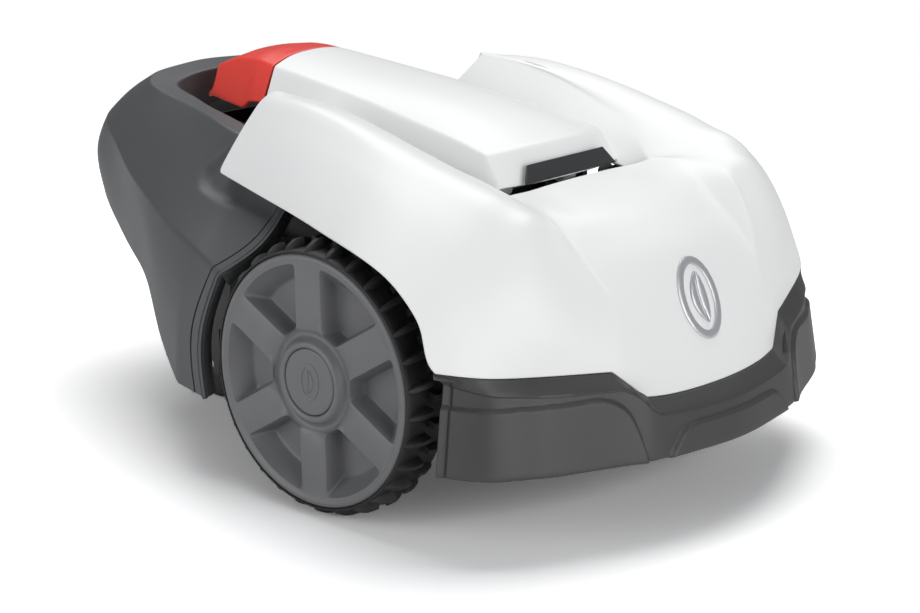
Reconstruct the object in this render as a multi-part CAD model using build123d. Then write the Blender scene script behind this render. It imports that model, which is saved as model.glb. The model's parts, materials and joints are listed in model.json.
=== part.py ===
"""Robotic lawn mower, millimetres.

The origin is the bottom centre of the machine's box. +X points to the badge
nose, +Y to the left side and +Z up. The chassis carries everything that works,
and the painted shell (hood, tail shell and nose bumper) floats on it.
"""
from build123d import *
import os
from math import cos, radians, sin, sqrt

# ---- overall sizes -------------------------------------------------------
LENGTH = 550.0
WIDTH = 380.0
HEIGHT = 250.0
DESIGN_LENGTH = 550.0      # sizes that the shell stations below are written for
DESIGN_WIDTH = 380.0
DESIGN_HEIGHT = 250.0

# ---- walls and clearances ------------------------------------------------
SHELL_WALL = 3.0
BUMPER_WALL = 4.0
SEAM_GAP = 0.9             # between the hood edge and the bumper edge
CHASSIS_WALL = 3.0
FIT = 0.3                  # clearance between a moving piece and its guide
RUNNING = 0.1              # radial clearance of a shaft in its bearing
FLOAT_TRAVEL = 3.0         # how far the shell moves before the stop switch trips
FLOAT_PLAY = 1.0           # clearance kept beyond that travel

# ---- shell details -------------------------------------------------------
BUMPER_FOOT = 53.2         # height of the bumper's lower edge
BADGE_WIDTH = 38.0
BADGE_HEIGHT = 54.0
BADGE_THICK = 2.2
BADGE_SINK = 3.0           # how far its back reaches into the hood before it is cut
FLOAT_POSTS = [(140, 92), (-62, 96)]
POST_RADIUS = 4.0
POST_HEAD_RADIUS = 5.5
POST_FOOT_RADIUS = 8.5
POST_HEAD_HEIGHT = 6.0
SOCKET_WALL = 2.5
SOCKET_DEPTH = 14.0

# ---- drive wheels --------------------------------------------------------
WHEEL_X = 78.5
TYRE_RADIUS = 88.6
TREAD_DEPTH = 4.6
TYRE_WIDTH = 38.0
TYRE_WALL = 6.0
WHEEL_OUTER_Y = 188.7
LUG_COUNT = 30
LUG_WIDTH = 5.0
LUG_SKEW = 24.0
SPOKE_COUNT = 6
SPOKE_WIDTH = 22.0
HUB_RADIUS = 33.0
HUB_CAP_RADIUS = 21.3
HUB_CAP_THICK = 4.0
RIM_DEEP = 14.0
RIM_LIP = 7.0
WHEEL_SHAFT_RADIUS = 6.0

# ---- chassis -------------------------------------------------------------
TRAY_REAR = -150.0
TRAY_FRONT = 205.0
TRAY_WAIST = -70.0
TRAY_HALF_WIDTH = 126.0
TRAY_TAIL_HALF_WIDTH = 88.0
TRAY_BOTTOM = 64.0
TRAY_TOP = 118.0
SEAL_THICK = 1.5
LID_TOP = 150.0
RIM_WIDTH = 9.0
SCREW_RADIUS = 2.0
SCREW_HEAD_RADIUS = 3.6
SCREW_HEAD_HEIGHT = 2.4

# ---- castors -------------------------------------------------------------
CASTOR_X = -118.0
CASTOR_Y = 62.0
CASTOR_TRAIL = 18.0
CASTOR_RADIUS = 26.0
CASTOR_WIDTH = 18.0
CASTOR_AXLE_RADIUS = 3.0
FORK_LEG = 3.0
STEM_RADIUS = 5.0
STEM_LENGTH = 28.0

# ---- cutter --------------------------------------------------------------
CUTTER_X = -2.0
CUT_HEIGHT = 30.0
CUT_LOW = 20.0
CUT_RADIUS = 85.0
DISC_RADIUS = 62.0
DISC_THICK = 3.0
BLADE_PIVOT_RADIUS = 52.0
BLADE_WIDTH = 18.0
BLADE_THICK = 0.8
BLADE_COUNT = 3
SKID_RADIUS = 46.0
SKID_THICK = 3.0
SKID_DROP = 9.0
MOTOR_RADIUS = 26.0
MOTOR_HEIGHT = 42.0
GUIDE_WALL = 3.0
CUTTER_SHAFT_RADIUS = 4.0
SPINDLE_X = -62.0
SPINDLE_RADIUS = 5.0

# ---- console, hatch and button -------------------------------------------
CONSOLE_REAR = -166.0
CONSOLE_FRONT = 92.0
CONSOLE_HALF_WIDTH = 50.0
CONSOLE_TOP = 200.0
DECK_Z = 176.0
DECK_THICK = 3.0
BULKHEAD_X = -98.0
HINGE_X = 98.0
HINGE_Z = 188.0
HINGE_PIN_RADIUS = 2.5
EAR_THICK = 5.0
KNOB_RADIUS = 19.0
KNOB_HEIGHT = 14.0
KEY_SIZE = 10.0
KEY_HEIGHT = 4.0
KEY_TRAVEL = 0.8
DISPLAY_SIZE = (36.0, 62.0, 8.0)
STOP_TRAVEL = 4.0
STOP_X = -137.0
PLUNGER_RADIUS = 7.0
LATCH_HALF = 10.0
LATCH_THICK = 4.0
LATCH_LOW = CONSOLE_TOP - 11.0
HATCH_WALL = 2.5
KNUCKLE_RADIUS = 5.0
KNUCKLE_START = 26.0       # from the centre line to a knuckle's inner end
KNUCKLE_LONG = 14.0
HOOK_THICK = 3.0
HOOK_HALF = 8.0
STOP_WALL = 3.0
SPRING_WALL = 1.6
DISPLAY_X = 62.0
DISPLAY_FRAME = 4.5
WINDOW_THICK = 1.2
KEYPAD_X = (-28.0, 34.0)
KEYPAD_HALF = 30.0
KEYPAD_THICK = 5.0

# ---- inside the chassis --------------------------------------------------
MAIN_SWITCH_X = 100.0
MAIN_SWITCH_LONG = 20.6
MAIN_SWITCH_WIDE = 14.6
GEARBOX_RADIUS = 20.0
GEARBOX_LONG = 34.0
DRIVE_MOTOR_LONG = 40.0
SHAFT_SEAT = 15.0          # depth of the wheel shaft in its gearbox
BOARD_THICK = 1.6
BOARD_DROP = 12.0          # from the lid's inside to the board's lower face

WHEEL_Z = TYRE_RADIUS
SEAL_TOP = TRAY_TOP + SEAL_THICK
SIDES = {"left": 1, "right": -1}


# ---- helpers -------------------------------------------------------------
def scaled(x, y, z):
    """A shell point moved with the overall length, width and height."""
    return Vector(x * LENGTH / DESIGN_LENGTH, y * WIDTH / DESIGN_WIDTH,
                  z * HEIGHT / DESIGN_HEIGHT)


def box(x, y, z):
    """A box from three (low, high) pairs."""
    size = [abs(high - low) for low, high in (x, y, z)]
    middle = [(low + high) / 2 for low, high in (x, y, z)]
    return Pos(*middle) * Box(*size)


def rod(radius, x, y, z):
    """An upright cylinder; z is a (low, high) pair."""
    return Pos(x, y, (z[0] + z[1]) / 2) * Cylinder(radius, z[1] - z[0])


def cross_rod(radius, x, y, z):
    """A cylinder along Y; y is a (low, high) pair."""
    turned = Rot(90, 0, 0) * Cylinder(radius, abs(y[1] - y[0]))
    return Pos(x, (y[0] + y[1]) / 2, z) * turned


def triangle(a, b, c):
    return Face(Wire.make_polygon([a, b, c], close=True))


def grid_normals(grid):
    """Unit normals of a grid of points, from the points on either side."""
    rows, columns = len(grid), len(grid[0])
    normals = []
    for i in range(rows):
        row = []
        for j in range(columns):
            along = grid[min(i + 1, rows - 1)][j] - grid[max(i - 1, 0)][j]
            across = grid[i][min(j + 1, columns - 1)] - grid[i][max(j - 1, 0)]
            row.append(along.cross(across).normalized())
        normals.append(row)
    return normals


def grid_shell(grid, wall):
    """A thin closed shell: the grid is its outer skin, moved inwards by wall."""
    normals = grid_normals(grid)
    inner = [[p - n * wall for p, n in zip(row, side)] for row, side in zip(grid, normals)]
    rows, columns = len(grid), len(grid[0])
    faces = []

    def quad(a, b, c, d):
        faces.append(triangle(a, b, c))
        faces.append(triangle(a, c, d))

    for i in range(rows - 1):
        for j in range(columns - 1):
            quad(grid[i][j], grid[i + 1][j], grid[i + 1][j + 1], grid[i][j + 1])
            quad(inner[i][j], inner[i + 1][j], inner[i + 1][j + 1], inner[i][j + 1])
    for i in range(rows - 1):
        for j in (0, columns - 1):
            quad(grid[i][j], grid[i + 1][j], inner[i + 1][j], inner[i][j])
    for j in range(columns - 1):
        for i in (0, rows - 1):
            quad(grid[i][j], grid[i][j + 1], inner[i][j + 1], inner[i][j])
    return Solid(Shell(faces))


def both_sides(stations):
    """Stations from the side to the centre line, continued on the other side."""
    left = [[scaled(*p) for p in station] for station in stations]
    right = [[Vector(p.X, -p.Y, p.Z) for p in station] for station in reversed(left[:-1])]
    return left + right


def bowed(start, end, bulge, count):
    """Points from start to end, bowed out by the bulge vector, most near the start."""
    points = []
    for k in range(1, count + 1):
        t = k / (count + 1)
        lift = 2.598 * sqrt(t) * (1 - t)
        points.append(tuple(a + (b - a) * t + c * lift for a, b, c in zip(start, end, bulge)))
    return points


# ---- floating shell ------------------------------------------------------
def hood_stations():
    """From the rear edge of the left shoulder to the nose, inner wall to lower edge."""
    sides = [
        # inner wall foot, inner crease, crown, lower edge, outward bow
        ((-52, 67, 208), (-37, 100, 241.8), (-41, 105, 242.4), (-66, 130, 190), (0, 2, 3.5)),
        ((-12, 66, 207), (-10, 100.5, 241.2), (-9, 105, 242.5), (-4, 150, 187), (0, 5, 10)),
        ((30, 66, 204), (32, 100.5, 235.8), (34, 105, 238.4), (52, 168, 183.5), (0, 5.5, 11)),
        ((66, 66, 200), (66, 98, 226), (72, 108.2, 231), (86, 177, 181), (0.6, 5.2, 10.4)),
        ((95, 66, 196), (97, 94, 216.5), (103, 109.3, 223.8), (120, 190, 176.5), (1.5, 4.6, 9.1)),
        ((112, 66, 193), (114, 87, 208.5), (125, 107.8, 218), (147, 190, 170), (2.9, 5.2, 9.9)),
        ((122, 66, 191), (125, 81, 203), (142, 105, 213.5), (164, 190, 158), (4.5, 6.4, 11.3)),
        ((128, 66, 190), (131, 77, 200), (157, 101.3, 209), (175, 190, 141), (7.5, 8.5, 14.1)),
        ((131.5, 66, 189), (134.5, 75.4, 198.6), (169, 98.2, 204.5), (184, 190, 119), (9.6, 8.1, 13.4)),
        ((133.2, 66, 188.5), (135.6, 74.8, 198.2), (176, 96.2, 201), (204.2, 162.7, 113.8), (11, 7.2, 12.9)),
    ]
    stations = [[foot, crease, crown] + bowed(crown, lower, bow, 5) + [lower]
                for foot, crease, crown, lower, bow in sides]
    stations += [
        [(134.2, 66, 188.5), (136.2, 74.4, 198), (181, 94.4, 198.4), (194.5, 95.5, 188.5),
         (206.5, 96.5, 173.5), (216.5, 96, 158), (225, 94.2, 141.5), (231.8, 91.6, 124.5), (236.7, 88.4, 108.1)],
        [(134.8, 65.5, 188.5), (136.6, 73.8, 197.8), (184, 93.5, 196.8), (196, 90.3, 188.7),
         (207.8, 87.7, 174.1), (217, 82.6, 161.5), (224.8, 79, 147.8), (235.2, 80.5, 124), (242.1, 78.4, 99)],
        [(135.6, 62, 188.5), (137.4, 71, 197.4), (154, 76, 198), (176, 75, 188.8), (196, 76.2, 175),
         (213, 76.4, 159.8), (226, 75, 146.4), (237, 75, 122), (244.3, 74.4, 95.4)],
        [(136, 48, 188.5), (138.6, 56, 197.4), (163.5, 58, 194), (184.3, 60, 186), (200, 62, 174.6),
         (214.5, 62, 162.4), (231, 62, 139), (241, 64, 114.5), (247.6, 68.4, 90)],
        [(136.5, 34, 188.5), (139.3, 38, 198.2), (165.5, 39, 193.8), (186.8, 40, 186), (204.6, 40, 174.8),
         (218.6, 40, 162.6), (232.8, 40, 138.8), (244, 41, 113), (253, 43, 88)],
        [(137, 0, 188.5), (140, 0, 199), (167, 0, 193.8), (189, 0, 186), (208, 0, 175),
         (222, 0, 163), (234, 0, 139.5), (245.5, 0, 114), (257, 0, 88)],
    ]
    return stations


def make_hood():
    return grid_shell(both_sides(hood_stations()), SHELL_WALL)


def tail_stations():
    """From the left leg beside the wheel to the tail centre, lower edge to hole wall."""
    return [
        [(-17.5, 188, 55), (-20.5, 188, 96), (-4, 187, 141), (9, 163, 158), (2, 128, 182),
         (-6, 112, 186), (-8, 108, 178), (-9, 106, 170)],
        [(-46, 187, 59), (-44, 186, 104), (-38, 176, 149), (-41, 144, 168), (-44, 104, 204),
         (-49, 91, 203), (-50, 87, 192), (-51, 85, 180)],
        [(-85, 168, 82), (-84, 167, 120), (-80, 161, 155), (-80, 135, 178), (-82, 105, 211.5),
         (-90, 86, 212), (-91, 83, 200), (-92, 81, 184)],
        [(-118, 149, 106), (-119, 148, 136), (-120, 144, 163), (-119, 122, 188), (-120, 92, 214.5),
         (-130, 76, 215), (-130, 73, 203), (-130, 71, 188)],
        [(-162, 124, 114), (-164, 123, 145), (-165, 124, 173), (-165, 104, 196), (-165, 79, 217),
         (-161, 65, 217), (-160, 62, 205), (-159, 60, 190)],
        [(-207, 100, 124), (-211.5, 101, 154), (-210, 99, 185), (-208, 86, 203), (-201, 70, 221.5),
         (-188, 56, 220), (-186, 53, 208), (-184, 51, 194)],
        [(-244, 80, 142), (-250, 80.5, 168), (-244, 75, 193), (-232, 66, 209), (-216, 52, 224.5),
         (-196, 42, 222), (-194, 40, 210), (-192, 38, 196)],
        [(-268, 42, 149), (-268, 41, 172), (-258, 38, 199), (-241, 34, 214), (-220, 27, 226),
         (-200, 22, 223.5), (-198, 21, 212), (-196, 20, 198)],
        [(-275, 0, 150), (-273, 0, 174), (-263, 0, 202), (-243, 0, 217), (-221, 0, 227),
         (-201, 0, 224), (-199, 0, 213), (-197, 0, 200)],
    ]


def make_tail_shell():
    return grid_shell(both_sides(tail_stations()), SHELL_WALL)


def bumper_stations():
    """From the wheel end to the nose centre, bottom edge to the seam under the hood."""
    plan = [
        # bottom outer x, y; top of raised panel z; seam x, y, z
        (184.8, 189.1, 97, 184, 190, 119),
        (195, 184.6, 97, 194.8, 178, 116.5),
        (213.5, 173.8, 96, 204.2, 162.7, 113.8),
        (225, 157.6, 94, 212.3, 145.4, 112),
        (235, 141.8, 92, 220, 127.5, 110.6),
        (246, 116.6, 90, 228.5, 107.8, 109.3),
        (256, 93, 88, 236.7, 88.4, 108.1),
        (263, 80, 76, 242, 79, 99),
        (266.8, 66, 73, 247.6, 68.4, 90),
        (271.2, 38, 72.5, 253, 43, 88),
        (275, 0, 72, 257, 0, 88),
    ]
    stations = []
    for x, y, panel, seam_x, seam_y, seam_z in plan:
        foot = (x, y, BUMPER_FOOT)
        top = (seam_x, seam_y, seam_z - SEAM_GAP)
        share = (panel - foot[2]) / (top[2] - foot[2])
        ledge = tuple(a + (b - a) * share * 0.25 for a, b in zip(foot, top))
        lip = tuple(a + (b - a) * min(share + 0.12, 0.9) for a, b in zip(foot, top))
        stations.append([foot, (ledge[0], ledge[1], panel), (lip[0], lip[1], lip[2]), top])
    return stations


def make_bumper():
    grid = both_sides(bumper_stations())
    return grid_shell([list(reversed(row)) for row in grid], BUMPER_WALL)


def emblem_plane():
    centre = scaled(236.2, 0, 136.5)
    slope = scaled(245.5, 0, 114) - scaled(225, 0, 157.5)
    out = Vector(-slope.Z, 0, slope.X).normalized()
    return Plane(origin=centre, x_dir=(0, 1, 0), z_dir=out)


def make_emblem(hood):
    """A plain oval badge, its back cut to the hood."""
    plane = emblem_plane()
    outline = Ellipse(BADGE_WIDTH / 2, BADGE_HEIGHT / 2)
    plate = plane * extrude(outline, BADGE_THICK) + plane * extrude(outline, -BADGE_SINK)
    outer = [piece for piece in (plate - hood).solids() if piece.volume > 100]
    return max(outer, key=lambda piece: piece.center().X)


def float_places():
    return [(x, side * y) for x, y in FLOAT_POSTS for side in SIDES.values()]


def make_float_sockets(hood, tail):
    """Cups under the shell that hold the heads of the float posts."""
    radius = POST_HEAD_RADIUS + FLOAT_TRAVEL + FLOAT_PLAY
    cups = []
    for x, y in float_places():
        column = rod(radius + SOCKET_WALL, x, y, (160, HEIGHT))
        below = lowest(column - hood - tail)
        foot = below.bounding_box().min.Z
        ceiling = socket_ceiling(x, y, radius + SOCKET_WALL, below)
        column = below - box((x - 30, x + 30), (y - 30, y + 30), (foot, ceiling - SOCKET_DEPTH))
        cups.append(column - rod(radius, x, y, (ceiling - SOCKET_DEPTH - 1, ceiling)))
    return cups


def socket_ceiling(x, y, radius, below):
    """The flat inside top of a cup: under the lowest place where the shell cuts it."""
    cut = [v for v in below.vertices() if v.Z > 160.5]
    return min(v.Z for v in cut) - 1.0


# ---- chassis -------------------------------------------------------------
def tray_outline(inset=0.0):
    """Plan of the chassis: wide at the nose, narrow between the castors."""
    x0, x1, waist = TRAY_REAR + inset, TRAY_FRONT - inset, TRAY_WAIST
    wide, narrow = TRAY_HALF_WIDTH - inset, TRAY_TAIL_HALF_WIDTH - inset
    nose = wide - 46
    points = [(x0, -narrow), (waist - 22, -narrow), (waist + 10, -wide), (x1 - 46, -wide),
              (x1, -nose), (x1, nose), (x1 - 46, wide), (waist + 10, wide),
              (waist - 22, narrow), (x0, narrow)]
    return make_face(Polyline(*points, close=True))


def slab(inset, low, high):
    return Pos(0, 0, low) * extrude(tray_outline(inset), high - low)


def screw_places():
    y = TRAY_HALF_WIDTH - RIM_WIDTH / 2
    narrow = TRAY_TAIL_HALF_WIDTH - RIM_WIDTH / 2
    places = [(TRAY_FRONT - 60, y), (20, y), (TRAY_REAR + 12, narrow), (TRAY_FRONT - RIM_WIDTH / 2, 40)]
    return [(x, side * v) for x, v in places for side in SIDES.values()]


def castor_places():
    return {side: (CASTOR_X, sign * CASTOR_Y) for side, sign in SIDES.items()}


def guide_radius():
    return MOTOR_RADIUS + GUIDE_WALL


def make_tray():
    tray = slab(0, TRAY_BOTTOM, TRAY_TOP) - slab(CHASSIS_WALL, TRAY_BOTTOM + CHASSIS_WALL, TRAY_TOP + 1)
    rim = slab(0, TRAY_TOP - 4, TRAY_TOP) - slab(RIM_WIDTH, TRAY_TOP - 5, TRAY_TOP + 1)
    tray += rim
    for x, y in castor_places().values():
        tray += rod(STEM_RADIUS + RUNNING + 4, x, y, (TRAY_BOTTOM, TRAY_BOTTOM + STEM_LENGTH + 3))
        tray -= rod(STEM_RADIUS + RUNNING, x, y, (TRAY_BOTTOM - 1, TRAY_BOTTOM + STEM_LENGTH))
    sleeve = guide_radius() + FIT
    tray += rod(sleeve + 3, CUTTER_X, 0, (TRAY_BOTTOM, TRAY_BOTTOM + 30))
    tray -= rod(sleeve, CUTTER_X, 0, (TRAY_BOTTOM - 1, TRAY_BOTTOM + 31))
    arm_low = CARRIAGE_ARM_LOW - (CUT_HEIGHT - CUT_LOW) - 1
    tray -= box((CUTTER_X - sleeve - 5, CUTTER_X - sleeve + 6), (-8 - 1, 8 + 1), (arm_low, TRAY_TOP))
    for sign in SIDES.values():
        wall = sorted((sign * (TRAY_HALF_WIDTH - 10), sign * (TRAY_HALF_WIDTH + 10)))
        tray -= cross_rod(WHEEL_SHAFT_RADIUS + RUNNING, WHEEL_X, wall, WHEEL_Z)
    for x, y in screw_places():
        tray -= rod(SCREW_RADIUS, x, y, (TRAY_TOP - 4, TRAY_TOP + 1))
    return tray - main_switch_block(0.2, (TRAY_BOTTOM - 1, TRAY_BOTTOM + CHASSIS_WALL + 1))


def main_switch_block(grow, z):
    """A block of the main switch housing's plan, grown on every side."""
    long, wide = MAIN_SWITCH_LONG / 2 + grow, MAIN_SWITCH_WIDE / 2 + grow
    return box((MAIN_SWITCH_X - long, MAIN_SWITCH_X + long), (-wide, wide), z)


def make_seal():
    ring = slab(1, TRAY_TOP, SEAL_TOP) - slab(RIM_WIDTH - 1, TRAY_TOP - 1, SEAL_TOP + 1)
    for x, y in screw_places():
        ring -= rod(SCREW_RADIUS, x, y, (TRAY_TOP - 1, SEAL_TOP + 1))
    return ring


def make_lid():
    inset = RIM_WIDTH + 2
    lid = slab(0, SEAL_TOP, SEAL_TOP + 4)
    lid += slab(inset, SEAL_TOP, LID_TOP)
    lid -= slab(inset + CHASSIS_WALL, SEAL_TOP - 1, LID_TOP - CHASSIS_WALL)
    lid -= rod(SPINDLE_RADIUS + RUNNING, SPINDLE_X, 0, (SEAL_TOP, LID_TOP + 1))
    for x, y in screw_places():
        lid -= rod(SCREW_RADIUS + 0.2, x, y, (SEAL_TOP - 1, SEAL_TOP + 5))
    return lid


def make_chassis_screws():
    top = SEAL_TOP + 4
    return [rod(SCREW_HEAD_RADIUS, x, y, (top, top + SCREW_HEAD_HEIGHT))
            + rod(SCREW_RADIUS, x, y, (TRAY_TOP - 4, top)) for x, y in screw_places()]


def make_float_posts(ceilings):
    """Sprung posts on the chassis; their round heads carry the shell."""
    posts = []
    for (x, y), ceiling in zip(float_places(), ceilings):
        top = ceiling - FIT
        post = rod(POST_RADIUS, x, y, (LID_TOP, top - POST_HEAD_HEIGHT))
        post += rod(POST_HEAD_RADIUS, x, y, (top - POST_HEAD_HEIGHT, top))
        post += rod(POST_FOOT_RADIUS, x, y, (LID_TOP, LID_TOP + 3))
        posts.append(post)
    return posts


# ---- inside the chassis --------------------------------------------------
INSIDE_FLOOR = TRAY_BOTTOM + CHASSIS_WALL


def make_battery():
    pack = box((128, 196), (-36, 36), (INSIDE_FLOOR, INSIDE_FLOOR + 40))
    return fillet(pack.edges().filter_by(Axis.Z), 3)


def make_main_board():
    low = LID_TOP - CHASSIS_WALL - BOARD_DROP
    return box((110, 185), (-50, 50), (low, low + BOARD_THICK))


def make_board_spacers():
    high = LID_TOP - CHASSIS_WALL
    return [rod(3, x, y, (high - BOARD_DROP + BOARD_THICK, high))
            for x in (116, 179) for y in (-44, 44)]


def make_loop_sensors():
    y = TRAY_HALF_WIDTH - 46 - 20
    return [box((TRAY_FRONT - CHASSIS_WALL - 1.6, TRAY_FRONT - CHASSIS_WALL),
                sorted((sign * y, sign * (y - 22))), (INSIDE_FLOOR + 6, INSIDE_FLOOR + 30))
            for sign in SIDES.values()]


def make_gearbox(sign):
    """Drive motor and planetary gearbox, bolted to the inside of the tray wall."""
    inner = TRAY_HALF_WIDTH - CHASSIS_WALL
    joint = inner - GEARBOX_LONG
    ends = sorted((sign * inner, sign * joint))
    motor = sorted((sign * joint, sign * (joint - DRIVE_MOTOR_LONG)))
    body = cross_rod(GEARBOX_RADIUS, WHEEL_X, ends, WHEEL_Z)
    body += cross_rod(GEARBOX_RADIUS - 4, WHEEL_X, motor, WHEEL_Z)
    bore = sorted((sign * (inner + 1), sign * (inner - SHAFT_SEAT - 1)))
    return body - cross_rod(WHEEL_SHAFT_RADIUS + RUNNING, WHEEL_X, bore, WHEEL_Z)


def make_charge_contacts():
    return [box((TRAY_REAR - 1.5, TRAY_REAR), sorted((sign * 22, sign * 34)),
                (TRAY_TOP - 30, TRAY_TOP - 10)) for sign in SIDES.values()]


def make_switch_housing():
    """Socket of the main switch, in the underside of the tray."""
    low = TRAY_BOTTOM + 0.2
    return main_switch_block(0, (low, low + 14)) - main_switch_block(-1.3, (low - 1, low + 9))


def make_main_switch():
    """Rocker that turns the machine off; it tilts about a cross axis."""
    low = TRAY_BOTTOM + 1.5
    half = MAIN_SWITCH_WIDE / 2 - 1.7
    rocker = box((MAIN_SWITCH_X - 8, MAIN_SWITCH_X + 8), (-half, half), (low, low + 3))
    hub = cross_rod(3, MAIN_SWITCH_X, (-half, half), low + 3)
    return rocker + hub


# ---- wheels --------------------------------------------------------------
def wheel_ring(outer, inner, depth_from, depth_to):
    """A ring about the wheel axis; depths count inwards from the outer face."""
    length = depth_to - depth_from
    ring = Cylinder(outer, length) - Cylinder(inner, length + 2)
    return Pos(0, 0, -depth_from - length / 2) * ring


def make_tyre():
    seat = TYRE_RADIUS - TREAD_DEPTH - TYRE_WALL
    base = wheel_ring(TYRE_RADIUS - TREAD_DEPTH, seat, 0, TYRE_WIDTH)
    step = 360 / LUG_COUNT
    lug_long = TREAD_DEPTH + 1
    for k in range(LUG_COUNT):
        for row, skew in ((0, LUG_SKEW), (1, -LUG_SKEW)):
            angle = step * (k + row / 2)
            middle = TYRE_WIDTH * (0.25 + 0.5 * row)
            lug = Pos(TYRE_RADIUS - lug_long / 2, 0, -middle) * Rot(skew, 0, 0) * Box(
                lug_long, LUG_WIDTH, TYRE_WIDTH / 2 - 1.5)
            base += Rot(0, 0, angle) * lug
    return base


def spoke_disc(thick):
    """Six straight spokes between hub and rim, as a flat plate."""
    outer = TYRE_RADIUS - TREAD_DEPTH - TYRE_WALL
    plate = Cylinder(HUB_RADIUS, thick)
    for k in range(SPOKE_COUNT):
        spoke = Pos(outer / 2, 0, 0) * Box(outer - 2, SPOKE_WIDTH, thick)
        plate += Rot(0, 0, 360 / SPOKE_COUNT * k + 13) * spoke
    return plate


def make_rim():
    outer = TYRE_RADIUS - TREAD_DEPTH - TYRE_WALL
    rim = wheel_ring(outer, outer - RIM_LIP, 0, TYRE_WIDTH)
    rim += Pos(0, 0, -RIM_DEEP - 3) * Cylinder(outer - 1, 3)
    rim += Pos(0, 0, -2 - RIM_DEEP / 2) * spoke_disc(RIM_DEEP)
    rim += Pos(0, 0, -RIM_DEEP - 8) * Cylinder(HUB_RADIUS - 12, 12)
    rim -= Pos(0, 0, -2) * Cylinder(HUB_CAP_RADIUS + 0.2, 2 * HUB_CAP_THICK - 4)
    return rim - Pos(0, 0, -TYRE_WIDTH / 2 - 8) * Cylinder(WHEEL_SHAFT_RADIUS, TYRE_WIDTH - 8)


def make_hub_cap():
    depth = HUB_CAP_THICK
    cap = Pos(0, 0, -depth / 2) * Cylinder(HUB_CAP_RADIUS, depth)
    return fillet(cap.edges().group_by(Axis.Z)[-1], 1.2)


def make_wheel_shaft():
    """Output shaft, from the gearbox bore into the hub."""
    inner = TRAY_HALF_WIDTH - CHASSIS_WALL - SHAFT_SEAT
    outer = WHEEL_OUTER_Y - 12
    return Pos(0, 0, inner + (outer - inner) / 2 - WHEEL_OUTER_Y) * Cylinder(
        WHEEL_SHAFT_RADIUS, outer - inner)


def on_wheel(piece, sign):
    """Place a wheel piece, made with its outer face at Z=0 and its axis on Z."""
    turn = Rot(-90, 0, 0) if sign > 0 else Rot(90, 0, 0)
    return Pos(WHEEL_X, sign * WHEEL_OUTER_Y, WHEEL_Z) * turn * piece


# ---- castors -------------------------------------------------------------
def castor_axle_x():
    return CASTOR_X - CASTOR_TRAIL


def make_castor_fork(y):
    x = castor_axle_x()
    crown_low = 2 * CASTOR_RADIUS + 2
    crown_high = TRAY_BOTTOM - 2
    half = CASTOR_WIDTH / 2 + 1.5
    fork = box((x - 9, CASTOR_X + 9), (y - half - FORK_LEG, y + half + FORK_LEG), (crown_low, crown_high))
    for side in SIDES.values():
        leg = sorted((y + side * half, y + side * (half + FORK_LEG)))
        fork += box((x - 7, x + 9), leg, (CASTOR_RADIUS - 7, crown_low + 1))
        fork -= cross_rod(CASTOR_AXLE_RADIUS, x, leg, CASTOR_RADIUS)
    fork += rod(STEM_RADIUS + 3, CASTOR_X, y, (crown_high, TRAY_BOTTOM - FIT))
    fork += rod(STEM_RADIUS, CASTOR_X, y, (crown_high, TRAY_BOTTOM + STEM_LENGTH - FIT))
    return fork


def make_castor_axle(y):
    half = CASTOR_WIDTH / 2 + 1.5 + FORK_LEG
    return cross_rod(CASTOR_AXLE_RADIUS, castor_axle_x(), (y - half, y + half), CASTOR_RADIUS)


def make_castor_wheel(y):
    half = CASTOR_WIDTH / 2
    x = castor_axle_x()
    wheel = cross_rod(CASTOR_RADIUS, x, (y - half, y + half), CASTOR_RADIUS)
    wheel = fillet(wheel.edges(), 3)
    return wheel - cross_rod(CASTOR_AXLE_RADIUS + RUNNING, x, (y - half - 1, y + half + 1), CASTOR_RADIUS)


# ---- cutter --------------------------------------------------------------
DISC_LOW = CUT_HEIGHT
DISC_HIGH = CUT_HEIGHT + DISC_THICK
GUIDE_LOW = DISC_HIGH + 14.0
GUIDE_HIGH = GUIDE_LOW + MOTOR_HEIGHT + 8.0
MOTOR_LOW = GUIDE_LOW + 4.0
CARRIAGE_ARM_LOW = GUIDE_HIGH - 8.0


def make_carriage():
    """Motor cup that slides in the tray sleeve; its arm carries the spindle nut."""
    outer = guide_radius()
    cup = rod(outer, CUTTER_X, 0, (GUIDE_LOW, GUIDE_HIGH))
    cup -= rod(MOTOR_RADIUS, CUTTER_X, 0, (MOTOR_LOW, GUIDE_HIGH + 1))
    cup -= rod(CUTTER_SHAFT_RADIUS + RUNNING, CUTTER_X, 0, (GUIDE_LOW - 1, MOTOR_LOW + 1))
    arm = box((SPINDLE_X - 9, CUTTER_X - MOTOR_RADIUS - 1), (-8, 8), (CARRIAGE_ARM_LOW, GUIDE_HIGH))
    arm -= rod(SPINDLE_RADIUS + RUNNING, SPINDLE_X, 0, (GUIDE_HIGH - 9, GUIDE_HIGH + 1))
    return cup + arm


def make_cutter_motor():
    motor = rod(MOTOR_RADIUS - FIT, CUTTER_X, 0, (MOTOR_LOW, MOTOR_LOW + MOTOR_HEIGHT))
    return motor - rod(CUTTER_SHAFT_RADIUS + RUNNING, CUTTER_X, 0, (MOTOR_LOW - 1, MOTOR_LOW + 15))


def make_cutter_shaft():
    return rod(CUTTER_SHAFT_RADIUS, CUTTER_X, 0, (DISC_LOW - 5, MOTOR_LOW + 14))


def blade_angles():
    return [360 / BLADE_COUNT * k + 30 for k in range(BLADE_COUNT)]


def blade_pivot(angle):
    return (CUTTER_X + BLADE_PIVOT_RADIUS * cos(radians(angle)),
            BLADE_PIVOT_RADIUS * sin(radians(angle)))


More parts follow.
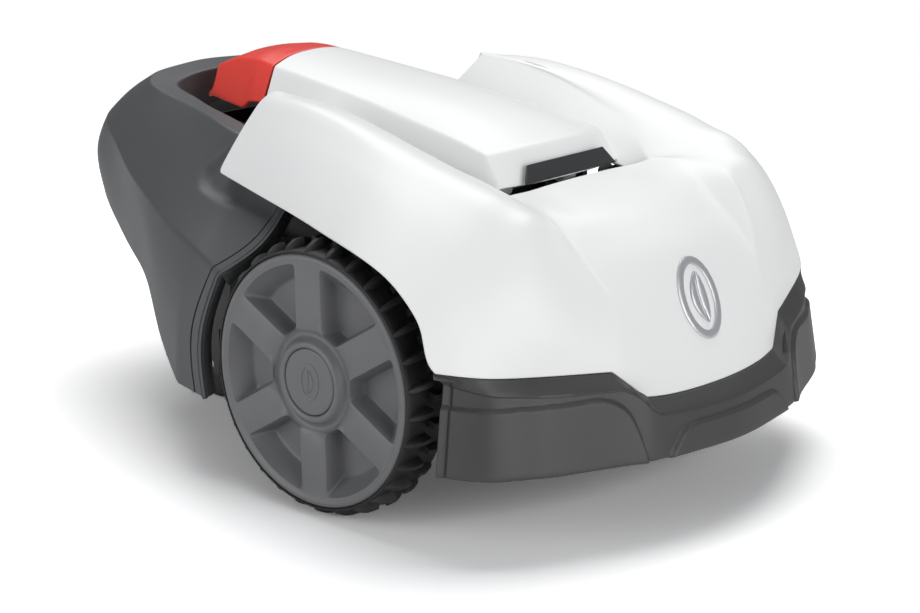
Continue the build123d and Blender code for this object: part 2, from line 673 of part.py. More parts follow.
def make_disc():
    disc = rod(DISC_RADIUS, CUTTER_X, 0, (DISC_LOW, DISC_HIGH))
    disc += rod(14, CUTTER_X, 0, (DISC_LOW, DISC_HIGH + 8))
    disc -= rod(CUTTER_SHAFT_RADIUS, CUTTER_X, 0, (DISC_LOW - 1, DISC_HIGH + 9))
    for angle in blade_angles():
        disc -= rod(1.5, *blade_pivot(angle), (DISC_LOW - 1, DISC_HIGH + 1))
        opening = Pos(CUTTER_X, 0, DISC_LOW) * Rot(0, 0, angle + 60) * Pos(36, 0, 1) * Box(22, 26, 6)
        disc -= opening
    return disc


def make_blade_screws():
    screws = []
    for angle in blade_angles():
        x, y = blade_pivot(angle)
        head = DISC_LOW - BLADE_THICK - 2 * FIT
        screws.append(rod(4, x, y, (head - 1.6, head)) + rod(1.5, x, y, (head, DISC_HIGH)))
    return screws


def make_blade(angle):
    length = CUT_RADIUS - BLADE_PIVOT_RADIUS
    back = 6.0
    top = DISC_LOW - FIT
    plan = Pos((length - back) / 2, 0) * RectangleRounded(length + back, BLADE_WIDTH, 2)
    blade = extrude(plan, BLADE_THICK) - Pos(0, 0, 0) * Cylinder(1.5 + FIT, 10)
    x, y = blade_pivot(angle)
    return Pos(x, y, top - BLADE_THICK) * Rot(0, 0, angle) * blade


def make_skid_plate():
    """Free-turning dish below the blades."""
    high = DISC_LOW - SKID_DROP + SKID_THICK
    plate = rod(SKID_RADIUS, CUTTER_X, 0, (high - SKID_THICK, high))
    plate = chamfer(plate.edges().group_by(Axis.Z)[0], 2)
    plate += rod(12, CUTTER_X, 0, (high - 1, DISC_LOW - FIT - 0.4))
    return plate - rod(CUTTER_SHAFT_RADIUS + RUNNING, CUTTER_X, 0, (high - 0.5, DISC_LOW + 1))


def make_spindle():
    """Threaded spindle of the height setting, turned by the knob."""
    low = CARRIAGE_ARM_LOW - (CUT_HEIGHT - CUT_LOW) - 2
    return rod(SPINDLE_RADIUS, SPINDLE_X, 0, (low, DECK_Z + 6))


def make_height_knob():
    knob = rod(KNOB_RADIUS, SPINDLE_X, 0, (DECK_Z + FIT, DECK_Z + KNOB_HEIGHT))
    knob = fillet(knob.edges().group_by(Axis.Z)[-1], 2)
    grip = Pos(SPINDLE_X, 0, DECK_Z + KNOB_HEIGHT) * Box(2 * KNOB_RADIUS - 6, 7, 6)
    return knob + grip - rod(SPINDLE_RADIUS, SPINDLE_X, 0, (DECK_Z - 1, DECK_Z + 6))


# ---- console -------------------------------------------------------------
def key_places():
    return {"key_back": (22, -18), "key_ok": (22, 18), "key_up": (4, 0),
            "key_start": (-14, 18), "key_home": (-14, -18)}


def make_console():
    """Deck under the hatch and button, standing on the chassis lid."""
    half = CONSOLE_HALF_WIDTH
    console = box((CONSOLE_REAR, CONSOLE_FRONT), (-half, half), (LID_TOP, CONSOLE_TOP))
    inner = half - CHASSIS_WALL
    console -= box((BULKHEAD_X + CHASSIS_WALL, CONSOLE_FRONT - CHASSIS_WALL), (-inner, inner),
                   (DECK_Z, CONSOLE_TOP + 1))
    console -= box((CONSOLE_REAR + CHASSIS_WALL, CONSOLE_FRONT - CHASSIS_WALL), (-inner, inner),
                   (LID_TOP - 1, DECK_Z - DECK_THICK))
    console -= box((CONSOLE_REAR + CHASSIS_WALL, BULKHEAD_X), (-inner, inner), (DECK_Z, CONSOLE_TOP + 1))
    console += rod(PLUNGER_RADIUS + FIT + 3, STOP_X, 0, (DECK_Z - 1, CONSOLE_TOP - 2))
    console -= rod(PLUNGER_RADIUS + FIT, STOP_X, 0, (DECK_Z - DECK_THICK - 1, CONSOLE_TOP))
    console -= rod(SPINDLE_RADIUS + RUNNING, SPINDLE_X, 0, (LID_TOP, DECK_Z + 1))
    for side in SIDES.values():
        ear = sorted((side * half, side * (half - EAR_THICK)))
        console += box((CONSOLE_FRONT - 1, HINGE_X + 6), ear, (HINGE_Z - 8, HINGE_Z + 6))
        console -= cross_rod(HINGE_PIN_RADIUS, HINGE_X, ear, HINGE_Z)
    console -= box((CONSOLE_FRONT - CHASSIS_WALL - 1, CONSOLE_FRONT + 1), (-20, 20),
                   (HINGE_Z - 9, CONSOLE_TOP + 1))
    console -= box((BULKHEAD_X - 2, BULKHEAD_X + CHASSIS_WALL + 1), (-LATCH_HALF - FIT, LATCH_HALF + FIT),
                   (LATCH_LOW - FIT, LATCH_LOW + LATCH_THICK + FIT))
    return console


def make_hinge_pin():
    half = CONSOLE_HALF_WIDTH
    return cross_rod(HINGE_PIN_RADIUS, HINGE_X, (-half, half), HINGE_Z)


def make_display():
    length, width, height = DISPLAY_SIZE
    body = Pos(DISPLAY_X, 0, DECK_Z + height / 2) * Box(length, width, height)
    body = chamfer(body.edges().group_by(Axis.Z)[-1], 1.5)
    window = Box(length - 2 * DISPLAY_FRAME, width - 2 * DISPLAY_FRAME, 2 * WINDOW_THICK)
    return body - Pos(DISPLAY_X, 0, DECK_Z + height) * window


def make_display_window():
    length, width, height = DISPLAY_SIZE
    window = Box(length - 2 * DISPLAY_FRAME, width - 2 * DISPLAY_FRAME, WINDOW_THICK)
    return Pos(DISPLAY_X, 0, DECK_Z + height - WINDOW_THICK / 2) * window


def make_keypad():
    panel = box(KEYPAD_X, (-KEYPAD_HALF, KEYPAD_HALF), (DECK_Z, DECK_Z + KEYPAD_THICK))
    for x, y in key_places().values():
        hole = KEY_SIZE + 2 * FIT
        panel -= Pos(x, y, DECK_Z + KEYPAD_THICK / 2 + 1) * Box(hole, hole, KEYPAD_THICK)
    return panel


def make_key(x, y):
    low = DECK_Z + 1 + KEY_TRAVEL + 0.2
    key = Pos(x, y, low + KEY_HEIGHT / 2) * Box(KEY_SIZE, KEY_SIZE, KEY_HEIGHT)
    return fillet(key.edges().group_by(Axis.Z)[-1], 0.8)


# ---- hatch ---------------------------------------------------------------
def hatch_stations():
    """From the seam by the button to the front face, right base to left base."""
    rows = [
        # x at base, base half width, base z, x at crease, crease half width, crease z, centre x, z
        (-99, 56, 217, -104, 40.5, 242.5, -105.5, 249.5),
        (-55, 57, 210, -50, 45, 237.5, -48, 245),
        (-5, 58, 205, -2.5, 49, 232, 2, 241.5),
        (45, 59.5, 201, 43, 53, 225.6, 50, 236.5),
        (85, 60.5, 198.5, 82.5, 56.5, 220.5, 90, 227.5),
        (107, 61.5, 197, 107, 58.8, 216.3, 117, 219),
        (120.5, 61.6, 196.2, 121, 59.5, 197, 129, 197.5),
    ]
    return cover_stations(rows)


def cover_stations(rows):
    """Full stations of a domed cover from its base, crease and centre line."""
    stations = []
    for base_x, base_y, base_z, x, y, z, mid_x, mid_z in rows:
        half = [(base_x, base_y, base_z), (x, y, z)]
        for share in (0.62, 0.3):
            drop = share ** 2.4
            half.append((mid_x + (x - mid_x) * drop, y * share, mid_z + (z - mid_z) * drop))
        right = [(a, -b, c) for a, b, c in reversed(half)]
        stations.append([scaled(*p) for p in half + [(mid_x, 0, mid_z)] + right])
    return stations


def lowest(shape):
    """The lowest of a cut shape's solids."""
    return min(shape.solids(), key=lambda solid: solid.bounding_box().min.Z)


def make_hatch():
    cover = grid_shell([list(reversed(row)) for row in hatch_stations()], HATCH_WALL)
    hatch = cover
    for side in SIDES.values():
        y = sorted((side * KNUCKLE_START, side * (KNUCKLE_START + KNUCKLE_LONG)))
        arm = box((HINGE_X - KNUCKLE_RADIUS, HINGE_X + KNUCKLE_RADIUS), y, (HINGE_Z, HEIGHT))
        hatch += lowest(arm - cover) + cross_rod(KNUCKLE_RADIUS, HINGE_X, y, HINGE_Z)
    for side in SIDES.values():
        y = sorted((side * (KNUCKLE_START - 1), side * (KNUCKLE_START + KNUCKLE_LONG + 1)))
        hatch -= cross_rod(HINGE_PIN_RADIUS + RUNNING, HINGE_X, y, HINGE_Z)
    hook_x = BULKHEAD_X + CHASSIS_WALL + 5
    hook = box((hook_x, hook_x + HOOK_THICK), (-HOOK_HALF, HOOK_HALF), (CONSOLE_TOP - 6, HEIGHT))
    return hatch + lowest(hook - cover)


def make_hatch_insert():
    """Dark grip strip set against the front face of the hatch."""
    points = [scaled(123.9, 38.4, 208.5), scaled(129.3, 46, 198.2)]
    top, foot = points
    plane = Plane(origin=(top + foot) * 0.5 - Vector(0, (top.Y + foot.Y) / 2, 0), x_dir=(0, 1, 0),
                  z_dir=Vector(top.Z - foot.Z, 0, foot.X - top.X))
    tall = (top - foot).length / 2 - 1
    outline = make_face(Polyline((-foot.Y, -tall), (foot.Y, -tall), (top.Y, tall), (-top.Y, tall), close=True))
    return plane * extrude(outline, 1.6)


# ---- stop button ---------------------------------------------------------
def stop_stations():
    rows = [
        (-103.5, 53.5, 219.5, -106.5, 39.8, 242.6, -107.5, 249.6),
        (-120.5, 50.8, 217.2, -121, 38.5, 244.2, -121, 250),
        (-127.5, 50, 211.2, -127, 38, 244, -127, 249.9),
        (-146, 46.5, 212.2, -146, 35.5, 242.2, -146, 246.8),
        (-166, 42.3, 213.4, -168, 34.5, 234.5, -169, 237.5),
        (-172, 40.6, 213.8, -173, 34, 216, -174.5, 216),
    ]
    return cover_stations(rows)


def make_stop_button():
    cap = grid_shell(stop_stations(), STOP_WALL)
    stem = rod(PLUNGER_RADIUS, STOP_X, 0, (DECK_Z + 3 + STOP_TRAVEL, HEIGHT + 10))
    return cap + lowest(stem - cap)


def make_stop_switch():
    return rod(PLUNGER_RADIUS, STOP_X, 0, (DECK_Z - DECK_THICK - 12, DECK_Z + 2.6))


def make_stop_spring():
    """Return spring between the guide's top and the cap, as a plain tube."""
    low = CONSOLE_TOP - 2
    high = stop_ceiling()
    inner = PLUNGER_RADIUS + 0.6
    return rod(inner + SPRING_WALL, STOP_X, 0, (low, high)) - rod(inner, STOP_X, 0, (low - 1, high + 1))


def stop_ceiling():
    """Lowest point of the cap's inside above the spring."""
    cap = grid_shell(stop_stations(), STOP_WALL)
    radius = PLUNGER_RADIUS + 3
    column = rod(radius, STOP_X, 0, (CONSOLE_TOP, HEIGHT + 10)) - cap
    return min(v.Z for v in lowest(column).vertices() if v.Z > CONSOLE_TOP + 1) - FIT


def make_hatch_latch():
    """Slide that holds the hatch hook and is drawn back by the stop button."""
    return box((BULKHEAD_X - 14, BULKHEAD_X + 5), (-LATCH_HALF, LATCH_HALF),
               (LATCH_LOW, LATCH_LOW + LATCH_THICK))


# ---- build ---------------------------------------------------------------
def build():
    """Every node of the machine, by name."""
    hood = make_hood()
    tail = make_tail_shell()
    bumper = make_bumper()
    cups = make_float_sockets(hood, tail)
    ceilings = [max(f.center().Z for f in cup.faces().filter_by(GeomType.PLANE)
                    if abs(f.normal_at().Z + 1) < 1e-6) for cup in cups]
    nodes = {
        "hood": hood,
        "tail_shell": tail,
        "nose_bumper": bumper,
        "emblem": make_emblem(hood),
        "float_sockets": Compound(cups),
        "float_posts": Compound(make_float_posts(ceilings)),
        "chassis_tray": make_tray(),
        "chassis_seal": make_seal(),
        "chassis_lid": make_lid(),
        "chassis_screws": Compound(make_chassis_screws()),
        "battery_pack": make_battery(),
        "main_board": make_main_board(),
        "board_spacers": Compound(make_board_spacers()),
        "loop_sensors": Compound(make_loop_sensors()),
        "charge_contacts": Compound(make_charge_contacts()),
        "main_switch_housing": make_switch_housing(),
        "main_switch": make_main_switch(),
        "cutter_carriage": make_carriage(),
        "cutter_motor": make_cutter_motor(),
        "cutter_shaft": make_cutter_shaft(),
        "blade_disc": make_disc(),
        "blade_screws": Compound(make_blade_screws()),
        "skid_plate": make_skid_plate(),
        "height_spindle": make_spindle(),
        "height_knob": make_height_knob(),
        "console": make_console(),
        "display_module": make_display(),
        "display_window": make_display_window(),
        "keypad_panel": make_keypad(),
        "hatch": make_hatch(),
        "hatch_insert": make_hatch_insert(),
        "hatch_hinge_pin": make_hinge_pin(),
        "hatch_latch": make_hatch_latch(),
        "stop_button": make_stop_button(),
        "stop_switch": make_stop_switch(),
        "stop_spring": make_stop_spring(),
    }
    for number, angle in enumerate(blade_angles(), 1):
        nodes[f"blade_{number}"] = make_blade(angle)
    for name, (x, y) in key_places().items():
        nodes[name] = make_key(x, y)
    tyre, rim, cap, shaft = make_tyre(), make_rim(), make_hub_cap(), make_wheel_shaft()
    for side, sign in SIDES.items():
        nodes[f"tyre_{side}"] = on_wheel(tyre, sign)
        nodes[f"rim_{side}"] = on_wheel(rim, sign)
        nodes[f"hub_cap_{side}"] = on_wheel(cap, sign)
        nodes[f"wheel_shaft_{side}"] = on_wheel(shaft, sign)
        nodes[f"gearbox_{side}"] = make_gearbox(sign)
        y = sign * CASTOR_Y
        nodes[f"castor_fork_{side}"] = make_castor_fork(y)
        nodes[f"castor_axle_{side}"] = make_castor_axle(y)
        nodes[f"castor_wheel_{side}"] = make_castor_wheel(y)
    return nodes


os.makedirs("parts", exist_ok=True)
for node_name, shape in build().items():
    export_step(shape, f"parts/{node_name}.step")
    print(node_name, len(shape.solids()), round(shape.volume))
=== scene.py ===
"""Looks of the robotic lawn mower: painted shell, hatch, stop button, wheels and stage.

Lengths are in millimetres until they reach a mesh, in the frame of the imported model.
"""
import json
from math import cos, pi, radians, sin

import bmesh
import bpy
import numpy as np
from mathutils import Matrix, Vector
from mathutils.bvhtree import BVHTree


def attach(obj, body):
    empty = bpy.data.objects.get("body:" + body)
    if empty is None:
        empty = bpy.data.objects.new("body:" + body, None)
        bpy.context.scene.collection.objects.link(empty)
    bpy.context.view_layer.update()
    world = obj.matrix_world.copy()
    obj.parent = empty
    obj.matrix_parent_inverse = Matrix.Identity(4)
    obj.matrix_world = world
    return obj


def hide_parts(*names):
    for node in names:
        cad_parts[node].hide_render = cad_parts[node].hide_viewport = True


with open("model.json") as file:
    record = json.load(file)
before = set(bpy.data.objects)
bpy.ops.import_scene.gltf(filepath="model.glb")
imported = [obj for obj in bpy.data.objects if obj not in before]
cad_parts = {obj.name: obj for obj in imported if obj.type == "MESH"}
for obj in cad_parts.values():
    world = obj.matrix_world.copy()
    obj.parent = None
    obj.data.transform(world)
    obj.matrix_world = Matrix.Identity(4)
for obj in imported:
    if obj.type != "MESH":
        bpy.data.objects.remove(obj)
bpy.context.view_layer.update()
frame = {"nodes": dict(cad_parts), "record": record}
MM = 0.001

# ---- curves and surfaces ---------------------------------------------------


def cubic(knots, values):
    """Natural cubic spline through values; returns a function of the knot value."""
    knots = np.asarray(knots, float)
    values = np.asarray(values, float)
    count = len(knots)
    flat = values.reshape(count, -1)
    step = np.diff(knots)
    second = np.zeros_like(flat)
    if count > 2:
        left = np.eye(count)
        right = np.zeros_like(flat)
        for k in range(1, count - 1):
            left[k, k - 1:k + 2] = step[k - 1], 2 * (step[k - 1] + step[k]), step[k]
            right[k] = 6 * ((flat[k + 1] - flat[k]) / step[k] - (flat[k] - flat[k - 1]) / step[k - 1])
        second = np.linalg.solve(left, right)

    def at(t):
        t = np.atleast_1d(np.asarray(t, float))
        k = np.clip(np.searchsorted(knots, t, side="right") - 1, 0, count - 2)
        h = step[k][:, None]
        a = ((knots[k + 1] - t)[:, None]) / h
        b = 1 - a
        curve = a * flat[k] + b * flat[k + 1]
        curve += ((a ** 3 - a) * second[k] + (b ** 3 - b) * second[k + 1]) * h ** 2 / 6
        return curve.reshape((len(t),) + values.shape[1:])

    return at


def spread(grid):
    """Knot values along the first axis of a grid, from its mean spacing."""
    gaps = np.linalg.norm(np.diff(grid, axis=0), axis=-1)
    return np.concatenate([[0], np.cumsum(gaps.reshape(len(gaps), -1).mean(axis=1))])


def refine(grid, corners=(), steps=6, ends=()):
    """Splines along the first axis, broken at corners, with extra samples beside them."""
    grid = np.asarray(grid, float)
    knots = spread(grid)
    breaks = [0] + [c for c in corners if 0 < c < len(grid) - 1] + [len(grid) - 1]
    rows = []
    for first, last in zip(breaks, breaks[1:]):
        curve = cubic(knots[first:last + 1], grid[first:last + 1])
        at = []
        for k in range(first, last):
            at += list(np.linspace(knots[k], knots[k + 1], steps, endpoint=False))
        for corner, sign in ((first, 1), (last, -1)):
            if corner in corners or corner in ends:
                at += [knots[corner] + sign * reach for reach in (0.9, 1.8, 3.0, 4.6)]
        at = sorted(set(round(t, 4) for t in at if knots[first] <= t < knots[last]))
        rows.append(curve(at))
    rows.append(grid[-1:])
    return np.concatenate(rows)


def refine_both(grid, row_corners=(), column_corners=(), row_steps=6, column_steps=6,
                row_ends=(), column_ends=()):
    grid = refine(grid, row_corners, row_steps, row_ends)
    turned = refine(np.swapaxes(grid, 0, 1), column_corners, column_steps, column_ends)
    return np.swapaxes(turned, 0, 1)


def soften(grid, axis, passes, weight=None):
    """Evens out a grid along one axis; weight limits where."""
    grid = np.swapaxes(grid, 0, axis).copy()
    if weight is not None:
        weight = np.swapaxes(weight, 0, axis)[1:-1, :, None]
    for _ in range(passes):
        middle = (grid[:-2] + grid[2:]) / 2
        share = 0.5 if weight is None else 0.5 * weight
        grid[1:-1] += share * (middle - grid[1:-1])
    return np.swapaxes(grid, 0, axis)


def near_creases(grid, axis, angle, reach):
    """1 beside the creases of a grid, 0 elsewhere."""
    turned = np.swapaxes(grid, 0, axis)
    ahead = turned[2:] - turned[1:-1]
    behind = turned[1:-1] - turned[:-2]
    size = np.linalg.norm(ahead, axis=-1) * np.linalg.norm(behind, axis=-1) + 1e-9
    turn = np.degrees(np.arccos(np.clip((ahead * behind).sum(-1) / size, -1, 1)))
    mark = np.zeros(turned.shape[:2])
    mark[1:-1] = turn > angle
    for _ in range(reach):
        grown = mark.copy()
        grown[1:] = np.maximum(grown[1:], mark[:-1])
        grown[:-1] = np.maximum(grown[:-1], mark[1:])
        mark = grown
    return np.swapaxes(mark, 0, axis)


def unit(v):
    return v / np.maximum(np.linalg.norm(v, axis=-1, keepdims=True), 1e-9)


def normals_of(grid):
    return unit(np.cross(np.gradient(grid, axis=0), np.gradient(grid, axis=1)))


def lengths_along(grid):
    """Distance of every grid point from the first row, along its column."""
    gaps = np.linalg.norm(np.diff(grid, axis=0), axis=-1)
    return np.concatenate([np.zeros((1, grid.shape[1])), np.cumsum(gaps, axis=0)])


def edge_rows(grid, distances, rest):
    """Rows at set distances from the first row, then rest rows to the last one."""
    along = lengths_along(grid)
    reach = distances[-1]
    rows = np.zeros((len(distances) + rest, grid.shape[1], 3))
    for j in range(grid.shape[1]):
        at = list(distances) + [reach + (along[-1, j] - reach) * (k + 1) / rest for k in range(rest)]
        for axis in range(3):
            rows[:, j, axis] = np.interp(at, along[:, j], grid[:, j, axis])
    return rows


def thick_edge(grid, radius, depths, side=1):
    """Rounds the first row over inwards and carries it on as an end face."""
    normals = normals_of(grid) * side
    away = unit(grid[0] - grid[2])
    along = lengths_along(grid)[:, :, None]
    near = np.clip(radius - along, 0, radius)
    grid = grid - normals * (radius - np.sqrt(radius ** 2 - near ** 2))
    face = [grid[0] - normals[0] * depth for depth in reversed(depths)]
    turn = [grid[0] - normals[0] * drop + away * 0.05 * drop for drop in (1.2, 0.4)]
    return np.concatenate([face, turn, grid])


CORNER_SPAN = 14               # rows and columns that a rounded corner may reach


def rounded_corner(grid, i, inward, radius):
    """Rounds the corner where row i meets the last column."""
    grid = grid.copy()
    rows = grid if inward > 0 else grid[::-1]
    original = rows.copy()
    down = unit(original[4, -1] - original[0, -1])
    across = unit(original[0, -5] - original[0, -1])
    for a in range(min(CORNER_SPAN, len(rows))):
        for b in range(1, CORNER_SPAN + 1):
            u = 1 - np.linalg.norm(original[a, -1] - original[0, -1]) / radius
            v = 1 - np.linalg.norm(original[0, -b] - original[0, -1]) / radius
            if u > 0 and v > 0:
                shift = down * (u - u * np.sqrt(1 - v * v / 2)) + across * (v - v * np.sqrt(1 - u * u / 2))
                rows[a, -b] = original[a, -b] + shift * radius
    return grid


def smooth(value):
    value = np.clip(value, 0, 1)
    return value * value * (3 - 2 * value)


def mirrored(half):
    """Rows from the left side to the centre line, carried on to the right side."""
    half = np.asarray(half, float)
    return np.concatenate([half, half[-2::-1] * (1, -1, 1)])


# ---- meshes ----------------------------------------------------------------


def mesh_piece(name, vertices, faces, body, slot, material, sharp=38.0):
    """A mesh object from millimetre vertices that rides on a body."""
    data = bpy.data.meshes.new(name)
    data.from_pydata([tuple(v) for v in np.asarray(vertices) * MM], [], faces)
    mesh = bmesh.new()
    mesh.from_mesh(data)
    bmesh.ops.remove_doubles(mesh, verts=mesh.verts, dist=1e-6)
    bmesh.ops.recalc_face_normals(mesh, faces=mesh.faces)
    for face in mesh.faces:
        face.smooth = True
    for edge in mesh.edges:
        if len(edge.link_faces) == 2:
            edge.smooth = edge.calc_face_angle(0) < radians(sharp)
    mesh.to_mesh(data)
    mesh.free()
    piece = bpy.data.objects.new(name, data)
    bpy.context.scene.collection.objects.link(piece)
    data.materials.append(material)
    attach(piece, body)
    return piece


def grid_faces(rows, columns, start=0, closed=False):
    faces = []
    for i in range(rows - 1):
        for j in range(columns if closed else columns - 1):
            k = (j + 1) % columns
            a, b = start + i * columns, start + (i + 1) * columns
            faces.append((a + j, b + j, b + k, a + k))
    return faces


def shell_surfaces(grid, wall, rim_steps=4):
    """Vertices and faces of a thin shell with rounded rims, outer skin on the grid."""
    rows, columns = grid.shape[:2]
    normals = normals_of(grid)
    perimeter = [(0, j) for j in range(columns)] + [(i, columns - 1) for i in range(1, rows)]
    perimeter += [(rows - 1, j) for j in range(columns - 2, -1, -1)]
    perimeter += [(i, 0) for i in range(rows - 2, 0, -1)]
    count = len(perimeter)
    outwards = np.zeros((count, 3))
    for k, (i, j) in enumerate(perimeter):
        side = np.zeros(3)
        if i == 0:
            side += unit(grid[0, j] - grid[1, j])
        if i == rows - 1:
            side += unit(grid[-1, j] - grid[-2, j])
        if j == 0:
            side += unit(grid[i, 0] - grid[i, 1])
        if j == columns - 1:
            side += unit(grid[i, -1] - grid[i, -2])
        n = normals[i, j]
        outwards[k] = unit(side - n * (side @ n))
    outer = grid.copy()
    for k, (i, j) in enumerate(perimeter):
        outer[i, j] = grid[i, j] - outwards[k] * min(wall / 2, 1.0) * 0.5
    inner = outer - normals * wall
    vertices = [outer.reshape(-1, 3), inner.reshape(-1, 3)]
    size = rows * columns
    faces = grid_faces(rows, columns)
    faces += [tuple(reversed(f)) for f in grid_faces(rows, columns, size)]
    loops = [[i * columns + j for i, j in perimeter]]
    start = 2 * size
    for step in range(1, rim_steps):
        turn = pi * step / rim_steps
        ring = []
        for k, (i, j) in enumerate(perimeter):
            middle = outer[i, j] - normals[i, j] * wall / 2
            ring.append(middle + wall / 2 * (cos(turn) * normals[i, j] + 0.6 * sin(turn) * outwards[k]))
        vertices.append(np.array(ring))
        loops.append(list(range(start, start + count)))
        start += count
    loops.append([size + i * columns + j for i, j in perimeter])
    for low, high in zip(loops, loops[1:]):
        for k in range(count):
            m = (k + 1) % count
            faces.append((low[k], low[m], high[m], high[k]))
    return np.concatenate(vertices), faces


def shell_piece(name, grid, wall, body, slot, material):
    vertices, faces = shell_surfaces(grid, wall)
    return mesh_piece(name, vertices, faces, body, slot, material)


def lathe(profile, segments=144):
    """Rings of a turned shape: (radius, depth) pairs; radius 0 closes to a point."""
    vertices, faces = [], []
    for radius, depth in profile:
        for k in range(segments):
            a = 2 * pi * k / segments
            vertices.append((radius * cos(a), depth, radius * sin(a)))
    return np.array(vertices), grid_faces(len(profile), segments, closed=True)


def joined(parts):
    vertices, faces = [], []
    start = 0
    for some, their in parts:
        vertices.append(np.asarray(some, float))
        faces += [tuple(v + start for v in f) for f in their]
        start += len(some)
    return np.concatenate(vertices), faces


def bevelled(piece, width, segments=2, angle=35):
    modifier = piece.modifiers.new("edges", "BEVEL")
    modifier.width = width * MM
    modifier.segments = segments
    modifier.limit_method = "ANGLE"
    modifier.angle_limit = radians(angle)
    modifier.harden_normals = False
    return piece


def block(x, y, z):
    """Vertices and faces of a box from (low, high) pairs."""
    vertices = [(a, b, c) for a in x for b in y for c in z]
    faces = [(0, 1, 3, 2), (4, 6, 7, 5), (0, 4, 5, 1), (2, 3, 7, 6), (0, 2, 6, 4), (1, 5, 7, 3)]
    return np.array(vertices, float), faces


# ---- materials -------------------------------------------------------------
BROAD_SCALE = 14.0


def noise_pair(nodes, links, grain, brushed):
    """Fine grain and broad patches, in the coordinates of the object."""
    place = nodes.new("ShaderNodeTexCoord")
    mapping = nodes.new("ShaderNodeMapping")
    if brushed:
        mapping.inputs["Scale"].default_value = brushed
    links.new(place.outputs["Object"], mapping.inputs["Vector"])
    pair = []
    for scale, detail in ((grain, 3.0), (BROAD_SCALE, 4.0)):
        noise = nodes.new("ShaderNodeTexNoise")
        noise.inputs["Scale"].default_value = scale
        noise.inputs["Detail"].default_value = detail
        links.new(mapping.outputs["Vector"], noise.inputs["Vector"])
        pair.append(noise)
    return pair


def painted_edge_highlight(nodes, links, colour_out, highlight_tone):
    """Adds a painted highlight: a lighter tone on the outer edges, where light would catch them."""
    geometry = nodes.new("ShaderNodeNewGeometry")
    ramp = nodes.new("ShaderNodeValToRGB")
    ramp.color_ramp.elements[0].position = 0.52
    ramp.color_ramp.elements[1].position = 0.62
    ramp.color_ramp.elements[1].color = (highlight_tone, highlight_tone, highlight_tone, 1)
    links.new(geometry.outputs["Pointiness"], ramp.inputs["Fac"])
    edge = nodes.new("ShaderNodeMix")
    edge.data_type = "RGBA"
    edge.blend_type = "ADD"
    edge.inputs["Factor"].default_value = 1.0
    links.new(colour_out, edge.inputs["A"])
    links.new(ramp.outputs["Color"], edge.inputs["B"])
    return edge.outputs["Result"]


def material(name, colour, roughness, grain=900.0, bump=0.05, tint=0.04, metallic=0.0, coat=0.0,
             highlight_tone=0.0, brushed=None):
    """Moulded plastic, rubber or metal with its own grain and slight colour variation."""
    made = bpy.data.materials.new(name)
    made.use_nodes = True
    nodes, links = made.node_tree.nodes, made.node_tree.links
    shader = nodes["Principled BSDF"]
    shader.inputs["Metallic"].default_value = metallic
    shader.inputs["Coat Weight"].default_value = coat
    shader.inputs["Coat Roughness"].default_value = 0.15
    fine, broad = noise_pair(nodes, links, grain, brushed)
    shade = nodes.new("ShaderNodeMix")
    shade.data_type = "RGBA"
    dark = [c * (1 - tint) for c in colour]
    light = [min(1.0, c * (1 + tint)) for c in colour]
    shade.inputs["A"].default_value = (*dark, 1)
    shade.inputs["B"].default_value = (*light, 1)
    links.new(broad.outputs["Fac"], shade.inputs["Factor"])
    colour_out = shade.outputs["Result"]
    # convex edges get a painted highlight, a lighter tone added on top of the colour
    if highlight_tone:
        colour_out = painted_edge_highlight(nodes, links, colour_out, highlight_tone)
    links.new(colour_out, shader.inputs["Base Color"])
    rough = nodes.new("ShaderNodeMapRange")
    rough.inputs["To Min"].default_value = max(0.02, roughness - 0.05)
    rough.inputs["To Max"].default_value = min(1.0, roughness + 0.05)
    links.new(broad.outputs["Fac"], rough.inputs["Value"])
    links.new(rough.outputs["Result"], shader.inputs["Roughness"])
    relief = nodes.new("ShaderNodeBump")
    relief.inputs["Strength"].default_value = bump
    relief.inputs["Distance"].default_value = 0.0006
    links.new(fine.outputs["Fac"], relief.inputs["Height"])
    links.new(relief.outputs["Normal"], shader.inputs["Normal"])
    return made


WHITE = material("satin_white_plastic", (0.88, 0.885, 0.882), 0.44, 1400, 0.03, 0.006, coat=0.08)
DARK = material("grained_dark_plastic", (0.076, 0.079, 0.083), 0.46, 2600, 0.22, 0.05)
BUMPER = material("bumper_rubber", (0.050, 0.050, 0.049), 0.46, 2400, 0.25, 0.06)
RIM = material("rim_plastic", (0.142, 0.144, 0.148), 0.42, 2200, 0.16, 0.05)
# tyre rubber whose lug and tooth edges carry a painted highlight
TREAD = material("tyre_rubber", (0.010, 0.010, 0.0095), 0.62, 1500, 0.4, 0.15, highlight_tone=0.01)
RED = material("stop_red_plastic", (0.84, 0.060, 0.042), 0.34, 2600, 0.18, 0.03)
INSERT = material("insert_plastic", (0.042, 0.043, 0.045), 0.40, 2200, 0.12, 0.05)
SILVER = material("brushed_badge", (0.60, 0.61, 0.63), 0.34, 900, 0.12, 0.05, 0.55, brushed=(1, 1, 30))
BLACK = material("chassis_plastic", (0.026, 0.026, 0.028), 0.50, 1800, 0.25, 0.08)
STEEL = material("turned_steel", (0.52, 0.52, 0.53), 0.32, 900, 0.10, 0.05, 1.0)
BLADE = material("ground_blade_steel", (0.60, 0.60, 0.61), 0.25, 700, 0.12, 0.05, 1.0, brushed=(1, 12, 1))
SEAL = material("seal_rubber", (0.018, 0.018, 0.018), 0.75, 1300, 0.3, 0.1)
BOARD = material("circuit_board", (0.02, 0.12, 0.05), 0.38, 500, 0.25, 0.2)
BATTERY = material("battery_sleeve", (0.03, 0.05, 0.10), 0.42, 700, 0.15, 0.1)
CONTACT = material("contact_plate", (0.72, 0.55, 0.25), 0.30, 900, 0.08, 0.05, 1.0)
KEYS = material("silicone_keys", (0.16, 0.165, 0.17), 0.55, 1600, 0.2, 0.06)
ORANGE = material("disc_plastic", (0.62, 0.20, 0.03), 0.45, 1500, 0.15, 0.05)
GLASS = material("display_window", (0.16, 0.20, 0.17), 0.12, 900, 0.02, 0.05, coat=0.6)

